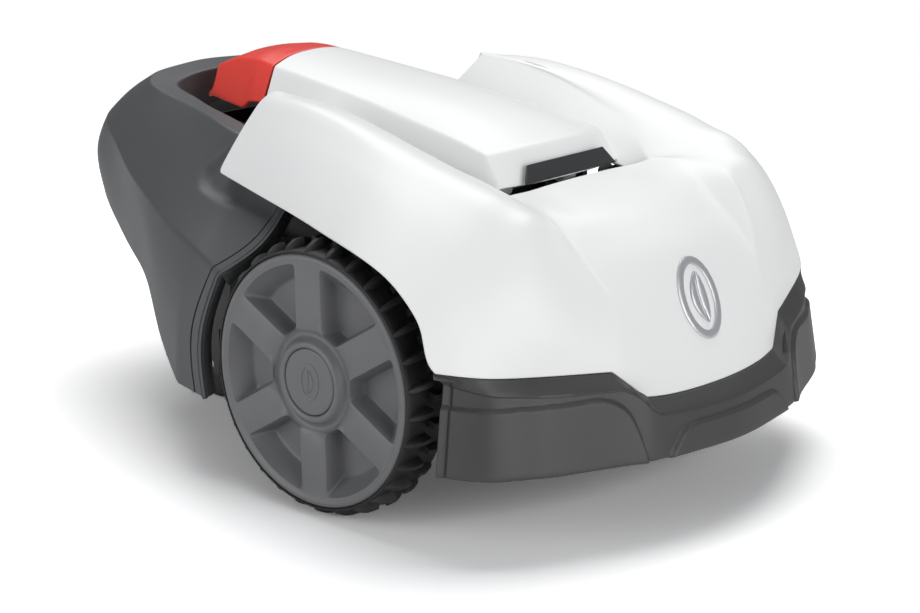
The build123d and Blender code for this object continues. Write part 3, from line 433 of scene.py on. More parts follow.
SLOT_MATERIALS = {
    "white_shell": WHITE, "dark_shell": DARK, "bumper_rubber": BUMPER, "rim_grey": RIM,
    "tread_black": TREAD, "stop_red": RED, "insert_grey": INSERT, "badge_silver": SILVER,
    "chassis_black": BLACK, "steel": STEEL, "blade_steel": BLADE, "seal_rubber": SEAL,
    "circuit_green": BOARD, "battery_blue": BATTERY, "contact_brass": CONTACT,
    "display_glass": GLASS, "key_rubber": KEYS, "disc_orange": ORANGE,
}
BEVELS = {"console": 0.8, "keypad_panel": 0.6, "height_knob": 0.8, "display_module": 0.5,
          "chassis_tray": 1.2, "chassis_lid": 1.2, "castor_fork_left": 0.8, "castor_fork_right": 0.8,
          "skid_plate": 0.5, "blade_disc": 0.4, "battery_pack": 0.8, "hatch_latch": 0.5}


def dress_frame():
    """Gives every carried-over node its material and, where it shows, soft edges."""
    for part in frame["record"]["subparts"]:
        node = frame["nodes"][part["node"]]
        node.data.materials.clear()
        node.data.materials.append(SLOT_MATERIALS[part["material_slot"]])
        if part["node"] in BEVELS:
            bevelled(node, BEVELS[part["node"]])


# ---- floating shell --------------------------------------------------------
HOOD_WALL = 3.0
HOOD_SIDES = [
    # inner wall foot, inner crease, crown, lower edge, outward bow
    ((-52, 67, 208), (-37, 100, 241.8), (-41, 105, 242.4), (-66, 130, 188.8), (0, 2, 3.5)),
    ((-12, 66, 207), (-10, 100.5, 241.2), (-9, 105, 242.5), (-4, 150, 186), (0, 5, 10)),
    ((30, 66, 204), (32, 100.5, 235.8), (34, 105, 238.4), (52, 168, 183.5), (0, 5.5, 11)),
    ((66, 66, 200), (66, 98, 226), (72, 108.2, 231), (86, 178, 180.5), (0.6, 5.2, 10.4)),
    ((95, 66, 196), (97, 94, 216.5), (103, 109.3, 223.8), (118, 187.5, 178), (1.5, 4.6, 9.1)),
    ((112, 66, 193), (114, 87, 208.5), (125, 107.8, 218), (146.5, 190, 168.6), (2.9, 5.2, 9.9)),
    ((122, 66, 191), (125, 81, 203), (142, 105, 213.5), (163, 190, 156.2), (4.5, 6.4, 11.3)),
    ((128, 66, 190), (131, 77, 200), (157, 101.3, 209), (174.2, 190, 140), (7.5, 8.5, 14.1)),
    ((131.5, 66, 189), (134.5, 75.4, 198.6), (169, 98.2, 204.5), (184, 190, 119), (9.6, 8.1, 13.4)),
    ((133.2, 66, 188.5), (135.6, 74.8, 198.2), (176, 96.2, 201), (204.2, 162.7, 113.8), (11, 7.2, 12.9)),
]
HOOD_NOSE = [
    [(134.2, 66, 188.5), (136.2, 74.4, 198), (181, 94.4, 198.4), (194.5, 95.5, 188.5),
     (206.5, 96.5, 173.5), (216.5, 96, 158), (225, 94.2, 141.5), (231.8, 91.6, 124.5), (236.7, 88.4, 108.1)],
    [(134.8, 65.5, 188.5), (136.6, 73.8, 197.8), (178, 90.5, 197.2), (196, 90.3, 188.7),
     (207.8, 87.7, 174.1), (217, 82.6, 161.5), (224.8, 79, 147.8), (235.2, 80.5, 124), (242.1, 78.4, 99)],
    [(135.6, 62, 188.5), (137.4, 71, 197.4), (161, 78.5, 196.6), (176, 75, 188.8), (196, 76.2, 175),
     (213, 76.4, 159.8), (226, 75, 146.4), (237, 75, 122), (244.3, 74.4, 95.4)],
    [(136, 48, 188.5), (138.6, 56, 197.4), (163.5, 58, 194), (184.3, 60, 186), (200, 62, 174.6),
     (214.5, 62, 162.4), (231, 62, 139), (241, 64, 114.5), (247.6, 68.4, 90)],
    [(136.5, 34, 188.5), (139.3, 38, 198.2), (165.5, 39, 193.8), (186.8, 40, 186), (204.6, 40, 174.8),
     (218.6, 40, 162.6), (232.8, 40, 138.8), (244, 41, 113), (253, 43, 88)],
    [(137, 0, 188.5), (140, 0, 199), (167, 0, 193.8), (189, 0, 186), (208, 0, 175),
     (222, 0, 163), (234, 0, 139.5), (245.5, 0, 114), (257, 0, 88)],
]


def bowed(start, end, bulge, count):
    """Points from start to end, bowed out by bulge, most near the start."""
    shares = [(k + 1) / (count + 1) for k in range(count)]
    return [tuple(a + (b - a) * t + c * 2.598 * t ** 0.5 * (1 - t) for a, b, c in zip(start, end, bulge))
            for t in shares]


SEAM_POINTS = [(184, 190, 119), (194.8, 178, 116.5), (204.2, 162.7, 113.8), (212.3, 145.4, 112),
               (220, 127.5, 110.6), (228.5, 107.8, 109.3), (236.7, 88.4, 108.1),
               (242, 78.5, 99), (247.6, 68.4, 90), (253, 43, 88), (257, 0, 88),
               (253, -43, 88), (247.6, -68.4, 90)]
SEAM_CORNERS = (6, 8)
SNAP_REACH = 24.0
CORNER_ROUND = 5.0
EDGE_ROUND = 2.6
EDGE_DEPTHS = (3.4, 5, 8)
PINCH = (166, 86, 199)         # where the nose valley runs out into the shoulder
PINCH_REACH = 26.0


def seam_curve(t):
    """Edge between hood and bumper; t runs from 0 at the wheel to 10 at the nose centre."""
    t = np.atleast_1d(np.asarray(t, float))
    points = np.array(SEAM_POINTS, float)
    side, middle = SEAM_CORNERS
    result = np.zeros((len(t), 3))
    low, high = t <= side, t >= middle
    between = ~low & ~high
    result[low] = cubic(range(side + 1), points[:side + 1])(t[low])
    result[high] = cubic(range(middle, len(points)), points[middle:])(t[high])
    share = (t[between] - side) / (middle - side)
    result[between] = points[side] + share[:, None] * (points[middle] - points[side])
    return result


def hood_grid():
    half = [[foot, crease, crown] + bowed(crown, lower, bow, 5) + [lower]
            for foot, crease, crown, lower, bow in HOOD_SIDES] + HOOD_NOSE
    rows = len(half)
    grid = mirrored(half)
    ridge, valley = rows - 5, rows - 4
    last = 2 * rows - 2
    creases = (ridge, valley, last - valley, last - ridge)
    grid = refine_both(grid, row_corners=creases, column_corners=(1,),
                       row_steps=9, column_steps=8, row_ends=(0, len(grid) - 1),
                       column_ends=(0, len(half[0]) - 1))
    grid = soften(grid, 1, 3, near_creases(grid, 1, 12, 2))
    grid = soften(grid, 0, 5, near_creases(grid, 0, 4, 4))
    away = np.linalg.norm(grid * (1, 0, 1) + np.abs(grid) * (0, 1, 0) - PINCH, axis=-1)
    pinched = smooth(1.4 - away / PINCH_REACH)
    for _ in range(6):
        grid = soften(soften(grid, 0, 4, pinched), 1, 4, pinched)
    return snapped_to_seam(grid)


def snapped_to_seam(grid):
    """Moves the front part of the hood's lower edge exactly onto the bumper seam."""
    curve = seam_curve(np.linspace(0, 10, 600))
    curve = np.concatenate([curve, curve * (1, -1, 1)])
    edge = grid[:, -1]
    near = np.linalg.norm(edge[:, None, :2] - curve[None, :, :2], axis=-1).argmin(axis=1)
    shift = curve[near] - edge
    shift[edge[:, 0] <= SEAM_POINTS[0][0]] = 0
    from_edge = lengths_along(np.swapaxes(grid, 0, 1)[::-1])[::-1].T
    weight = smooth(1 - from_edge / SNAP_REACH)
    return grid + shift[:, None] * weight[..., None]


def finished_hood():
    """The hood's skin with round rear corners and thick, rounded rear edges."""
    grid = hood_grid()
    for i, inward in ((0, 1), (-1, -1)):
        grid = rounded_corner(grid, i, inward, CORNER_ROUND)
    grid = thick_edge(grid, EDGE_ROUND, EDGE_DEPTHS)
    return thick_edge(grid[::-1], EDGE_ROUND, EDGE_DEPTHS, -1)[::-1]


def make_hood():
    piece = shell_piece("hood_shell", finished_hood(), HOOD_WALL, "shell", "white_shell", WHITE)
    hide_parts("hood")
    return piece


TAIL_WALL = 3.0
TAIL_HALF = [
    [(-17.5, 188, 55), (-20.5, 188, 96), (-4, 187, 141), (9, 163, 158), (2, 128, 182),
     (-6, 112, 186), (-8, 108, 178), (-9, 106, 170)],
    [(-46, 187, 59), (-44, 186, 104), (-38, 176, 149), (-41, 144, 168), (-44, 104, 204),
     (-49, 91, 203), (-50, 87, 192), (-51, 85, 180)],
    [(-85, 168, 82), (-84, 167, 120), (-80, 161, 155), (-80, 135, 178), (-82, 105, 211.5),
     (-90, 86, 212), (-91, 83, 200), (-92, 81, 184)],
    [(-118, 149, 106), (-119, 148, 136), (-120, 144, 163), (-119, 122, 188), (-120, 92, 214.5),
     (-130, 76, 215), (-130, 73, 203), (-130, 71, 188)],
    [(-162, 124, 114), (-164, 123, 145), (-165, 124, 173), (-165, 104, 196), (-165, 79, 217),
     (-161, 65, 217), (-160, 62, 205), (-159, 60, 190)],
    [(-207, 100, 124), (-211.5, 101, 154), (-210, 99, 185), (-208, 86, 203), (-201, 70, 221.5),
     (-188, 56, 220), (-186, 53, 208), (-184, 51, 194)],
    [(-244, 80, 142), (-250, 80.5, 168), (-244, 75, 193), (-232, 66, 209), (-216, 52, 224.5),
     (-196, 42, 222), (-194, 40, 210), (-192, 38, 196)],
    [(-268, 42, 149), (-268, 41, 172), (-258, 38, 199), (-241, 34, 214), (-220, 27, 226),
     (-200, 22, 223.5), (-198, 21, 212), (-196, 20, 198)],
    [(-275, 0, 150), (-273, 0, 174), (-263, 0, 202), (-243, 0, 217), (-221, 0, 227),
     (-201, 0, 224), (-199, 0, 213), (-197, 0, 200)],
]


LEG_CORNER = 1
TRIM_ROWS = (0, 0.5, 1.2, 2.4, 4.5, 7.5, 9.3, 9.8, 10.0, 11.1, 11.3, 11.8, 13.5, 16, 20)
TRIM_SEAM = (10.0, 11.1)
SEAM_DEEP = 1.6
LEDGE_LINE = [(-37, 101, 242), (-66, 130, 190), (-4, 150, 187), (52, 168, 183.5)]
LEDGE_REACH = 18.5
LEDGE_BLEND = 6.0
LEDGE_DEEP = 4.4
FLANGE_LEAN = 0.3


def distance_to_line(points, line):
    """Distance from each point to a polyline."""
    best = np.full(points.shape[:-1], 1e9)
    for a, b in zip(np.array(line, float), np.array(line[1:], float)):
        share = np.clip(((points - a) @ (b - a)) / ((b - a) @ (b - a)), 0, 1)
        best = np.minimum(best, np.linalg.norm(points - a - share[..., None] * (b - a), axis=-1))
    return best


def tail_grid():
    stations = mirrored(TAIL_HALF)
    last = len(stations) - 1
    grid = refine_both(stations, row_corners=(LEG_CORNER, last - LEG_CORNER), column_corners=(2, 4, 5),
                       row_steps=12, column_steps=12, row_ends=(0, last), column_ends=(0, 7))
    grid = soften(grid, 1, 5, near_creases(grid, 1, 9, 3))
    above = np.ones(grid.shape[:2])
    above[:, :2] = 0
    grid = soften(grid, 0, 6, near_creases(grid, 0, 2, 5) * above)
    half = edge_rows(grid[:len(grid) // 2 + 1], TRIM_ROWS, 90)
    normals = normals_of(half)
    ledge = LEDGE_DEEP * smooth((LEDGE_REACH - distance_to_line(half, LEDGE_LINE)) / LEDGE_BLEND)
    ledge[:3] *= 0
    ledge[3:12] *= np.linspace(0, 1, 9)[:, None]
    seam = np.array([SEAM_DEEP if TRIM_SEAM[0] <= d <= TRIM_SEAM[1] else 0 for d in TRIM_ROWS])
    ledge[:len(seam)] += seam[:, None]
    half = half - normals * ledge[..., None]
    inwards = unit(normals[0] * (0, 1, 1))
    face = [half[0] - inwards * depth - (FLANGE_LEAN * depth, 0, 0) for depth in (13.5, 8, 4, 1.8)]
    turn = [half[0] - inwards * 0.7, half[0] - inwards * 0.2]
    return mirrored(np.concatenate([face, turn, half]))


def make_tail():
    piece = shell_piece("tail_cover", tail_grid(), TAIL_WALL, "shell", "dark_shell", DARK)
    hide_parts("tail_shell")


BUMPER_WALL = 4.0
BUMPER_FOOT = 53.2
BUMPER_PLAN = [(184.8, 189.1), (195, 184.6), (213.5, 173.8), (225, 157.6), (235, 141.8), (246, 116.6),
               (256, 93), (263, 80), (266.8, 66), (271.2, 38), (275, 0)]
PANEL_STEP = 2.6
STRIP_SEAM = (0.60, 0.68)
DRAFT = 0.178
CHAMFER_BAND = 8.5            # height of the sloping band under the seam
SEAM_GAP = 0.9


def corner_distance(a, b, radius):
    """Distance inside a corner formed by two edges, rounded off by radius."""
    straight = np.minimum(a, b)
    rounded = radius - np.hypot(np.maximum(radius - a, 0), np.maximum(radius - b, 0))
    return np.where((a < radius) & (b < radius), rounded, straight)


def raised_panel(t, z):
    """1 on the bumper's raised panels, 0 in the channels between them. t is 0 to 10."""
    along = 26.0
    side_end = 5.75 + 1.25 * np.clip((96 - z) / 43, 0, 1) ** 0.8
    side = corner_distance((side_end - t) * along, 96.5 - z, 15.0)
    middle_start = 8.05 + 0.62 * np.clip((z - 53) / 19, 0, 1)
    middle = corner_distance((t - middle_start) * along, 72.4 - z, 7.0)
    return np.maximum(smooth(side / 2.6), smooth(middle / 2.6))


def bumper_grid():
    plan = mirrored([(x, y, 0) for x, y in BUMPER_PLAN])
    stations = np.concatenate([np.linspace(0, 0.55, 12), np.linspace(0.6, 10, 170)])
    stations = np.concatenate([stations, 20 - stations[-2::-1]])
    foot = cubic(range(len(plan)), plan)(stations)
    tangent = unit(np.gradient(foot, axis=0))
    outwards = np.cross(tangent, (0, 0, -1))
    half = np.minimum(stations, 20 - stations)
    seam = seam_curve(half)
    seam[stations > 10] *= (1, -1, 1)
    rows = []
    for k in range(len(stations)):
        top = seam[k] - (0, 0, SEAM_GAP)
        chamfer = top[2] - CHAMFER_BAND
        above = np.linspace(5, chamfer - BUMPER_FOOT - 1, 36)
        heights = np.concatenate([[0, 0.7, 1.6, 3], above]) + BUMPER_FOOT
        inset = DRAFT * (heights - BUMPER_FOOT) + PANEL_STEP * (1 - raised_panel(half[k], heights))
        inset[:3] += (1.6, 0.6, 0.15)
        start = max(0.0, 0.42 - half[k]) * 6
        inset += start * 0.2
        if STRIP_SEAM[0] < half[k] < STRIP_SEAM[1]:
            inset += 1.1
        column = foot[k] - outwards[k] * inset[:, None]
        column[:, 2] = heights
        edge = column[-1]
        bend = [edge + (top - edge) * s + outwards[k] * b
                for s, b in ((0.05, 0.9), (0.12, 1.5), (0.25, 1.6), (0.6, 0.9), (0.9, 0.2))]
        lip = [top - outwards[k] * deep + (0, 0, rise)
               for deep, rise in ((0.8, 0.1), (3.6, 0.2), (4.4, 0.8), (4.6, 5.0))]
        rows.append(np.concatenate([column, bend, [top], lip]))
    return np.array(rows)[:, ::-1]


def make_bumper():
    piece = shell_piece("nose_bumper_moulding", bumper_grid(), BUMPER_WALL, "shell", "bumper_rubber", BUMPER)
    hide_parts("nose_bumper")


# ---- hatch, button and badge ----------------------------------------------
HATCH_WALL = 2.5
HINGE_X, HINGE_Z = 98.0, 188.0
KNUCKLE_RADIUS, KNUCKLE_START, KNUCKLE_LONG = 5.0, 26.0, 14.0
PIN_BORE = 2.7
ARM_TOP = 214.5
HOOK_X = (-90.0, -87.0)
HOOK_HALF = 8.0
HOOK_Z = (194.0, 245.5)
HATCH_ROWS = [
    # x at base, base half width, base z, x at crease, crease half width, crease z, centre x, z
    (-99, 56, 217, -104, 40.5, 242.5, -105.5, 249.5),
    (-55, 57, 210, -50, 45, 237.5, -48, 245),
    (-5, 58, 205, -2.5, 49, 232, 2, 241.5),
    (45, 59.5, 201, 43, 53, 225.6, 50, 236.5),
    (85, 60.5, 198.5, 82.5, 56.5, 220.5, 90, 227.5),
    (107, 61.5, 197, 107, 58.8, 216.3, 117, 219),
    (120.5, 61.6, 196.2, 121, 59.5, 197, 129, 197.5),
]
STOP_ROWS = [
    (-103.5, 53.5, 219.5, -106.5, 39.8, 242.6, -107.5, 249.6),
    (-120.5, 50.8, 217.2, -121, 38.5, 244.2, -121, 250),
    (-127.5, 50, 211.2, -127, 38, 244, -127, 249.9),
    (-146, 46.5, 212.2, -146, 35.5, 242.2, -146, 246.8),
    (-166, 42.3, 213.4, -168, 34.5, 234.5, -169, 237.5),
    (-172, 40.6, 213.8, -173, 34, 216, -174.5, 216),
]


def cover_grid(rows, corners):
    """A domed cover: side walls, a crease each side and a crowned top."""
    stations = []
    for base_x, base_y, base_z, x, y, z, mid_x, mid_z in rows:
        half = [(base_x, base_y, base_z), (x, y, z)]
        for share in (0.62, 0.3):
            drop = share ** 2.4
            half.append((mid_x + (x - mid_x) * drop, y * share, mid_z + (z - mid_z) * drop))
        right = [(a, -b, c) for a, b, c in reversed(half)]
        stations.append(half + [(mid_x, 0, mid_z)] + right)
    last = len(stations[0]) - 1
    grid = refine_both(stations, row_corners=corners, column_corners=(1, last - 1), row_steps=9,
                       column_steps=9, row_ends=(0, len(stations) - 1), column_ends=(0, last))
    grid = soften(grid, 1, 6, near_creases(grid, 1, 10, 3))
    return soften(grid, 0, 6, near_creases(grid, 0, 10, 3))


def tube(radius, bore, long, x, y, z):
    """A tube across the machine with chamfered ends, from y on."""
    edge = 0.6
    rings = [(bore, 0), (radius - edge, 0), (radius, edge), (radius, long - edge),
             (radius - edge, long), (bore, long), (bore, 0)]
    vertices, faces = lathe(rings, 48)
    return vertices + (x, y, z), faces


def make_hatch():
    """Cover with its two hinge knuckles and the hook that the latch holds."""
    grid = cover_grid(HATCH_ROWS, (5,))
    parts = [shell_surfaces(grid[:, ::-1], HATCH_WALL)]
    for start in (KNUCKLE_START, -KNUCKLE_START - KNUCKLE_LONG):
        reach = (HINGE_X - KNUCKLE_RADIUS + 0.8, HINGE_X + KNUCKLE_RADIUS - 0.8)
        parts.append(block(reach, (start + 0.8, start + KNUCKLE_LONG - 0.8), (HINGE_Z + 3, ARM_TOP)))
        parts.append(tube(KNUCKLE_RADIUS, PIN_BORE, KNUCKLE_LONG, HINGE_X, start, HINGE_Z))
    parts.append(block(HOOK_X, (-HOOK_HALF, HOOK_HALF), HOOK_Z))
    parts.append(block((HOOK_X[0] - 1.6, HOOK_X[0] + 1), (-HOOK_HALF, HOOK_HALF), (HOOK_Z[0], HOOK_Z[0] + 2)))
    piece = mesh_piece("hatch_cover", *joined(parts), "hatch", "white_shell", WHITE)
    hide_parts("hatch")


def make_stop_button():
    grid = cover_grid(STOP_ROWS, (1, 2, 3, 4))
    piece = shell_piece("stop_cap", grid, 3.0, "stop_button", "stop_red", RED)
    stem = lathe([(0, 0), (6, 0), (7, 1), (7, 55), (0, 55)], 48)
    vertices = stem[0][:, (0, 2, 1)] + (-137, 0, 183)
    plunger = mesh_piece("stop_plunger", vertices, stem[1], "stop_button", "stop_red", RED)
    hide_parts("stop_button")


BADGE_CENTRE = (236.2, 0.0, 136.5)
BADGE_SLOPE = (20.5, 0.0, -43.5)
BADGE_SIZE = (38.0, 54.0)


def ring_badge(width, height, band, thick):
    """A generic badge as (across, up, height) points: an oval ring round a plain leaf."""
    parts = []
    section = [(0, -thick), (0, 0.6), (0.12, 0.9), (0.3, 1), (0.7, 1), (0.88, 0.9), (1, 0.6), (1, -thick)]
    count = 96
    ring = []
    for share, rise in section:
        for k in range(count):
            a = 2 * pi * k / count
            ring.append(((width / 2 - band * share) * cos(a), (height / 2 - band * share) * sin(a),
                         rise * thick if rise > 0 else rise))
    parts.append((np.array(ring), grid_faces(len(section), count, closed=True)))
    half = 0.31 * height
    for side in (1, -1):
        leaf = []
        steps = 28
        for k in range(steps + 1):
            up = -half + 2 * half * k / steps
            bulge = 0.2 * width * (1 - (up / half) ** 2) ** 0.8
            lean = 0.05 * width * (up / half) ** 2
            for share, rise in ((0.06, -thick), (0.08, 0.45), (0.2, 0.8), (0.6, 1.0), (0.88, 0.85),
                                (0.97, 0.5), (1.0, -thick)):
                leaf.append((lean + side * (0.3 + bulge * share), up, rise * thick if rise > 0 else rise))
        parts.append((np.array(leaf), grid_faces(steps + 1, 7)))
    return joined(parts)


def make_badge(hood_piece):
    """Silver badge laid on the hood."""
    up = unit(np.array(BADGE_SLOPE) * -1)
    out = np.array([-up[2], 0, up[0]]) * -1
    tree = BVHTree.FromObject(hood_piece, bpy.context.evaluated_depsgraph_get())
    vertices, faces = ring_badge(*BADGE_SIZE, 5.6, 1.5)
    placed = []
    for across, rise, height in vertices:
        start = np.array(BADGE_CENTRE) + up * rise + np.array([0, across, 0]) + out * 20
        hit = tree.ray_cast(Vector(start * MM), Vector(-out))
        base = np.array(hit[0]) / MM if hit[0] else start - out * 20
        placed.append(base + out * height)
    piece = mesh_piece("ring_badge", placed, faces, "shell", "badge_silver", SILVER, sharp=50)
    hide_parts("emblem")


# ---- wheels ----------------------------------------------------------------
WHEEL_X = 78.5
WHEEL_Z = 88.6
WHEEL_OUTER_Y = 188.7
POCKETS = 6
POCKET_TURN = 2.5
POCKET_RADIUS = 74.0
POCKET_INNER = 33.8
SPOKE_HALF = 11.2
POCKET_DEPTH = 13.0
FACE_DEPTH = 1.2
POCKET_WALLS = [
    # inset of the sides, of the outer arc, of the inner arc, depth
    (-1.0, -1.0, -0.4, 0.0), (-0.4, -0.4, -0.2, 0.25), (0, 0, 0, 1.0), (0.8, 3.2, 0.3, 5.0),
    (1.7, 6.4, 0.6, 9.0), (2.5, 8.8, 1.0, 11.8), (3.2, 9.8, 1.6, 12.7), (4.4, 11.2, 2.8, POCKET_DEPTH),
]
RIM_PROFILE = [(75.8, 0.9), (77.0, 0.25), (78.4, 0.0), (79.6, 0.35), (80.5, 1.3), (80.9, 2.8),
               (80.9, 8), (77, 12), (77, 38), (72, 38), (72, 17.5), (34, 17.5), (28, 30),
               (6, 30), (6, 12)]
HUB_PROFILE = [(32.0, 3.2), (31.0, 4.0), (30.0, 4.2), (29.0, 3.9), (28.0, 3.1), (27.0, 1.9),
               (26.2, 0.7), (25.5, -0.1), (24.7, -0.6), (23.6, -0.8), (22.6, -0.6), (21.9, -0.1),
               (21.6, 0.6), (21.6, 4.4), (6, 4.4), (6, 12)]


def even_loop(points, count):
    """A closed outline resampled to count evenly spaced points."""
    points = np.asarray(points, float)
    closed = np.concatenate([points, points[:1]])
    length = np.concatenate([[0], np.cumsum(np.linalg.norm(np.diff(closed, axis=0), axis=1))])
    at = np.linspace(0, length[-1], count, endpoint=False)
    return np.stack([np.interp(at, length, closed[:, k]) for k in range(closed.shape[1])], axis=1)


def pocket_outline(side, outer, inner, passes=5, count=108):
    """Pocket between two spokes, about angle 0, its three walls moved in by the insets."""
    half = pi / POCKETS
    gap = SPOKE_HALF + side

    def arc(radius, number):
        limit = half - np.arcsin(gap / radius)
        return [(radius * cos(a), radius * sin(a)) for a in np.linspace(-limit, limit, number)]

    loop = even_loop(arc(POCKET_RADIUS - outer, 28) + arc(POCKET_INNER + inner, 9)[::-1], count)
    for _ in range(passes):
        loop = (np.roll(loop, 1, 0) + 2 * loop + np.roll(loop, -1, 0)) / 4
    return loop


def turned(points, angle):
    c, s = cos(angle), sin(angle)
    return points @ np.array([[c, s], [-s, c]])


def rim_mesh():
    mesh = bmesh.new()

    def loop(points, depth):
        return [mesh.verts.new((x, depth, z)) for x, z in points]

    def loft(first, second):
        for k in range(len(first)):
            m = (k + 1) % len(first)
            mesh.faces.new((first[k], first[m], second[m], second[k]))

    def ring_edges(verts):
        return [mesh.edges.new((a, b)) for a, b in zip(verts, verts[1:] + verts[:1])]

    circle = [(cos(2 * pi * k / 180), sin(2 * pi * k / 180)) for k in range(180)]
    outer = loop([(75 * a, 75 * b) for a, b in circle], FACE_DEPTH)
    inner = loop([(33.0 * a, 33.0 * b) for a, b in circle], FACE_DEPTH + 1.2)
    edges = ring_edges(outer) + ring_edges(inner)
    pockets = []
    for k in range(POCKETS):
        angle = radians(POCKET_TURN + 360 / POCKETS * k)
        loops = [loop(turned(pocket_outline(side, outer_in, inner_in), angle), FACE_DEPTH + depth)
                 for side, outer_in, inner_in, depth in POCKET_WALLS]
        edges += ring_edges(loops[0])
        pockets.append(loops)
    bmesh.ops.triangle_fill(mesh, use_beauty=True, use_dissolve=False, edges=edges, normal=(0, -1, 0))
    for loops in pockets:
        for first, second in zip(loops, loops[1:]):
            loft(first, second)
        mesh.faces.new(loops[-1])
    for start, profile in ((outer, RIM_PROFILE), (inner, HUB_PROFILE)):
        previous = start
        for radius, depth in profile:
            ring = loop([(radius * a, radius * b) for a, b in circle], depth)
            loft(previous, ring)
            previous = ring
    bmesh.ops.remove_doubles(mesh, verts=mesh.verts, dist=1e-4)
    mesh.verts.index_update()
    vertices = np.array([v.co[:] for v in mesh.verts])
    faces = [tuple(v.index for v in f.verts) for f in mesh.faces]
    mesh.free()
    return vertices, faces


CAP_FACE = 0.0
CAP_PROFILE = [(0, 0.0), (15.6, 0.0), (19.6, -0.05), (20.6, 0.1), (21.1, 0.5), (21.3, 1.2),
               (21.3, 4.0), (0, 4.0)]
LUGS = 30
TYRE_WIDTH = 38.0
LUG_FOOT = 82.0
TYRE_PROFILE = [(81.05, 6), (81.05, 1.2), (81.5, 0.7), (82.4, 1.0), (83.0, 2.2), (83.0, 5), (82.6, 8),
                (82.6, 30), (83.0, 33), (83.0, 35.8), (82, 37.4), (80, 37.6), (77.2, 37),
                (77.2, 12), (81.05, 8)]
LUG_DEPTHS = (1.6, 3.2, 6.0, 9.0, 12.5, 18.4)
LUG_HEIGHTS = (83.6, 85.0, 86.3, 87.6, 88.4, 88.5)


def lug(angle, row):
    """One tread lug, from the sidewall tooth to the middle of the tread."""
    rings = []
    for depth, top in zip(LUG_DEPTHS, LUG_HEIGHTS):
        narrow = 0.55 if depth < 2 else 0.8 if depth < 4 else 1.0
        skew = 0.12 * (depth - 9)
        if row:
            depth = TYRE_WIDTH - depth
        for across, radius in ((-2.6, LUG_FOOT), (-1.9, top - 0.7), (-1.4, top), (1.4, top),
                               (1.9, top - 0.7), (2.6, LUG_FOOT)):
            across = across * narrow + skew
            rings.append((radius * cos(angle) - across * sin(angle), depth,
                          radius * sin(angle) + across * cos(angle)))
    count = 6
    faces = grid_faces(len(LUG_DEPTHS), count, closed=True)
    last = count * len(LUG_DEPTHS)
    faces += [tuple(range(count)), tuple(range(last - 1, last - count - 1, -1))]
    return np.array(rings), faces


def tyre_mesh():
    parts = [lathe(TYRE_PROFILE, 180)]
    for row in (0, 1):
        for k in range(LUGS):
            parts.append(lug(2 * pi * (k + row / 2) / LUGS + radians(9.2), row))
    return joined(parts)


def cap_mesh():
    """Hub cap with the same generic mark, raised a little."""
    vertices, faces = ring_badge(17, 24, 2.2, 0.45)
    mark = np.stack([-vertices[:, 0], CAP_FACE - vertices[:, 2], vertices[:, 1]], axis=1)
    return joined([lathe(CAP_PROFILE, 96), (mark, faces)])


def make_wheels():
    rim, tyre, cap = rim_mesh(), tyre_mesh(), cap_mesh()
    for side, sign in (("left", 1), ("right", -1)):
        body = f"drive_wheel_{side}"
        for name, part, slot, look in (("rim", rim, "rim_grey", RIM), ("tyre", tyre, "tread_black", TREAD),
                                       ("hub_cap", cap, "rim_grey", RIM)):
            vertices, faces = part
            placed = vertices * (1, -sign, 1) + (WHEEL_X, sign * WHEEL_OUTER_Y, WHEEL_Z)
            piece = mesh_piece(f"{name}_moulding_{side}", placed, faces, body, slot, look, sharp=32)
            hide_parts(f"{name}_{side}")


# ---- stage -----------------------------------------------------------------
VIEW_AZIMUTH = 41.424
VIEW_ELEVATION = 16.539
VIEW_ROLL = 0.866
FOCAL_WIDTHS = 2315.4 / 920
SENSOR = 36.0
CAMERA_PLACE = (1.0466, -1.1458, 0.5423)


def make_camera():
    a, e, roll = radians(VIEW_AZIMUTH), radians(VIEW_ELEVATION), radians(VIEW_ROLL)
    back = Vector((sin(a) * cos(e), -cos(a) * cos(e), sin(e)))
    right = Vector((cos(a), sin(a), 0))
    up = back.cross(right)
    rolled_right = cos(roll) * right + sin(roll) * up
    rolled_up = -sin(roll) * right + cos(roll) * up
    data = bpy.data.cameras.new("camera")
    data.sensor_width = SENSOR
    data.lens = FOCAL_WIDTHS * SENSOR
    camera = bpy.data.objects.new("camera", data)
    turn = Matrix((rolled_right, rolled_up, back)).transposed().to_4x4()
    camera.matrix_world = Matrix.Translation(CAMERA_PLACE) @ turn
    bpy.context.scene.collection.objects.link(camera)
    bpy.context.scene.camera = camera


def make_lamp(name, place, target, size, power):
    data = bpy.data.lights.new(name, "AREA")
    data.shape = "RECTANGLE"
    data.size, data.size_y = size
    data.energy = power
    lamp = bpy.data.objects.new(name, data)
    lamp.location = place
    lamp.rotation_euler = (Vector(target) - Vector(place)).to_track_quat("-Z", "Y").to_euler()
    bpy.context.scene.collection.objects.link(lamp)


FLOOR_SEEN = 1.5
FLOOR_LIT = (0.75, 1.3)       # metres from the middle over which the floor turns plain white


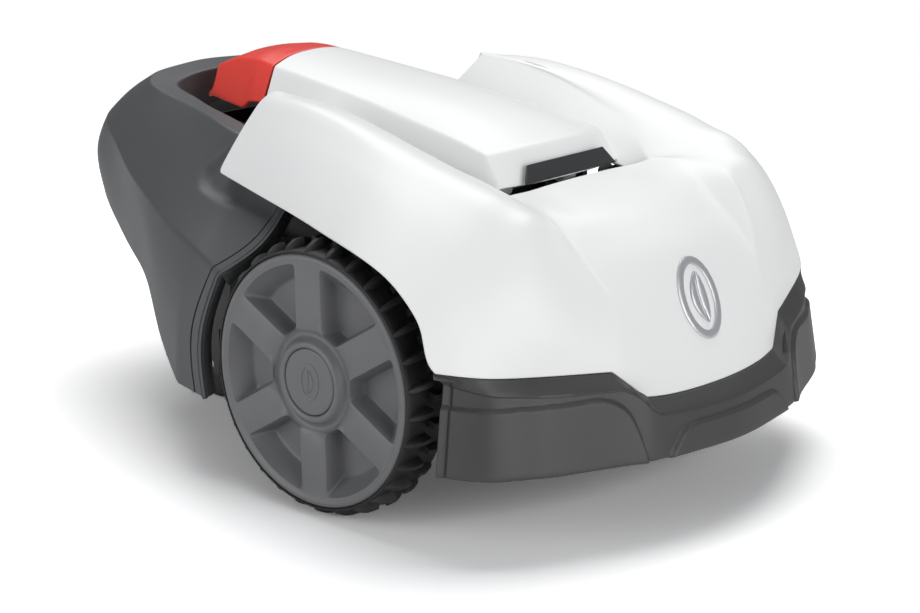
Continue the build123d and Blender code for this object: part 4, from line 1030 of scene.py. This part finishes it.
def whiten_far_floor(nodes, links, shader, path):
    """Far from the machine the camera sees the floor as plain white, whatever light reaches it."""
    place = nodes.new("ShaderNodeNewGeometry")
    reach = nodes.new("ShaderNodeVectorMath")
    reach.operation = "LENGTH"
    fade = nodes.new("ShaderNodeMapRange")
    fade.interpolation_type = "SMOOTHSTEP"
    fade.inputs["From Min"].default_value, fade.inputs["From Max"].default_value = FLOOR_LIT
    both = nodes.new("ShaderNodeMath")
    both.operation = "MULTIPLY"
    plain = nodes.new("ShaderNodeEmission")
    mix = nodes.new("ShaderNodeMixShader")
    links.new(place.outputs["Position"], reach.inputs[0])
    links.new(reach.outputs["Value"], fade.inputs["Value"])
    links.new(fade.outputs["Result"], both.inputs[0])
    links.new(path.outputs["Is Camera Ray"], both.inputs[1])
    links.new(both.outputs["Value"], mix.inputs["Fac"])
    links.new(shader.outputs["BSDF"], mix.inputs[1])
    links.new(plain.outputs["Emission"], mix.inputs[2])
    links.new(mix.outputs["Shader"], nodes["Material Output"].inputs["Surface"])


def make_stage():
    scene = bpy.context.scene
    scene.view_settings.view_transform = "Standard"
    world = bpy.data.worlds.new("studio")
    scene.world = world
    world.use_nodes = True
    nodes, links = world.node_tree.nodes, world.node_tree.links
    ground = nodes["Background"]
    ground.inputs["Color"].default_value = (0.93, 0.95, 1.0, 1)
    ground.inputs["Strength"].default_value = 0.15
    seen = nodes.new("ShaderNodeBackground")
    seen.inputs["Strength"].default_value = 1.0
    path = nodes.new("ShaderNodeLightPath")
    mix = nodes.new("ShaderNodeMixShader")
    links.new(path.outputs["Is Camera Ray"], mix.inputs["Fac"])
    links.new(ground.outputs["Background"], mix.inputs[1])
    links.new(seen.outputs["Background"], mix.inputs[2])
    links.new(mix.outputs["Shader"], nodes["World Output"].inputs["Surface"])
    bpy.ops.mesh.primitive_plane_add(size=30, location=(0, 0, -0.0006))
    floor = bpy.context.object
    floor.name = "floor"
    look = bpy.data.materials.new("white_floor")
    look.use_nodes = True
    nodes, links = look.node_tree.nodes, look.node_tree.links
    shader = nodes["Principled BSDF"]
    shader.inputs["Roughness"].default_value = 0.9
    path = nodes.new("ShaderNodeLightPath")
    paint = nodes.new("ShaderNodeMix")
    paint.data_type = "RGBA"
    paint.inputs["A"].default_value = (0.80, 0.80, 0.80, 1)
    paint.inputs["B"].default_value = (FLOOR_SEEN, FLOOR_SEEN, FLOOR_SEEN, 1)
    links.new(path.outputs["Is Camera Ray"], paint.inputs["Factor"])
    links.new(paint.outputs["Result"], shader.inputs["Base Color"])
    whiten_far_floor(nodes, links, shader, path)
    floor.data.materials.append(look)
    make_lamp("overhead", (-0.5, 0.7, 2.3), (0, 0, 0.1), (2.2, 2.2), 49)
    make_lamp("left_front", (-1.0, -2.5, 0.85), (0, 0, 0.12), (2.2, 1.5), 31)
    make_lamp("nose_side", (2.5, -0.5, 0.8), (0.1, 0, 0.12), (1.8, 1.4), 32)


dress_frame()
hood = make_hood()
make_tail()
make_bumper()
make_badge(hood)
make_hatch()
make_stop_button()
make_wheels()
make_camera()
make_stage()
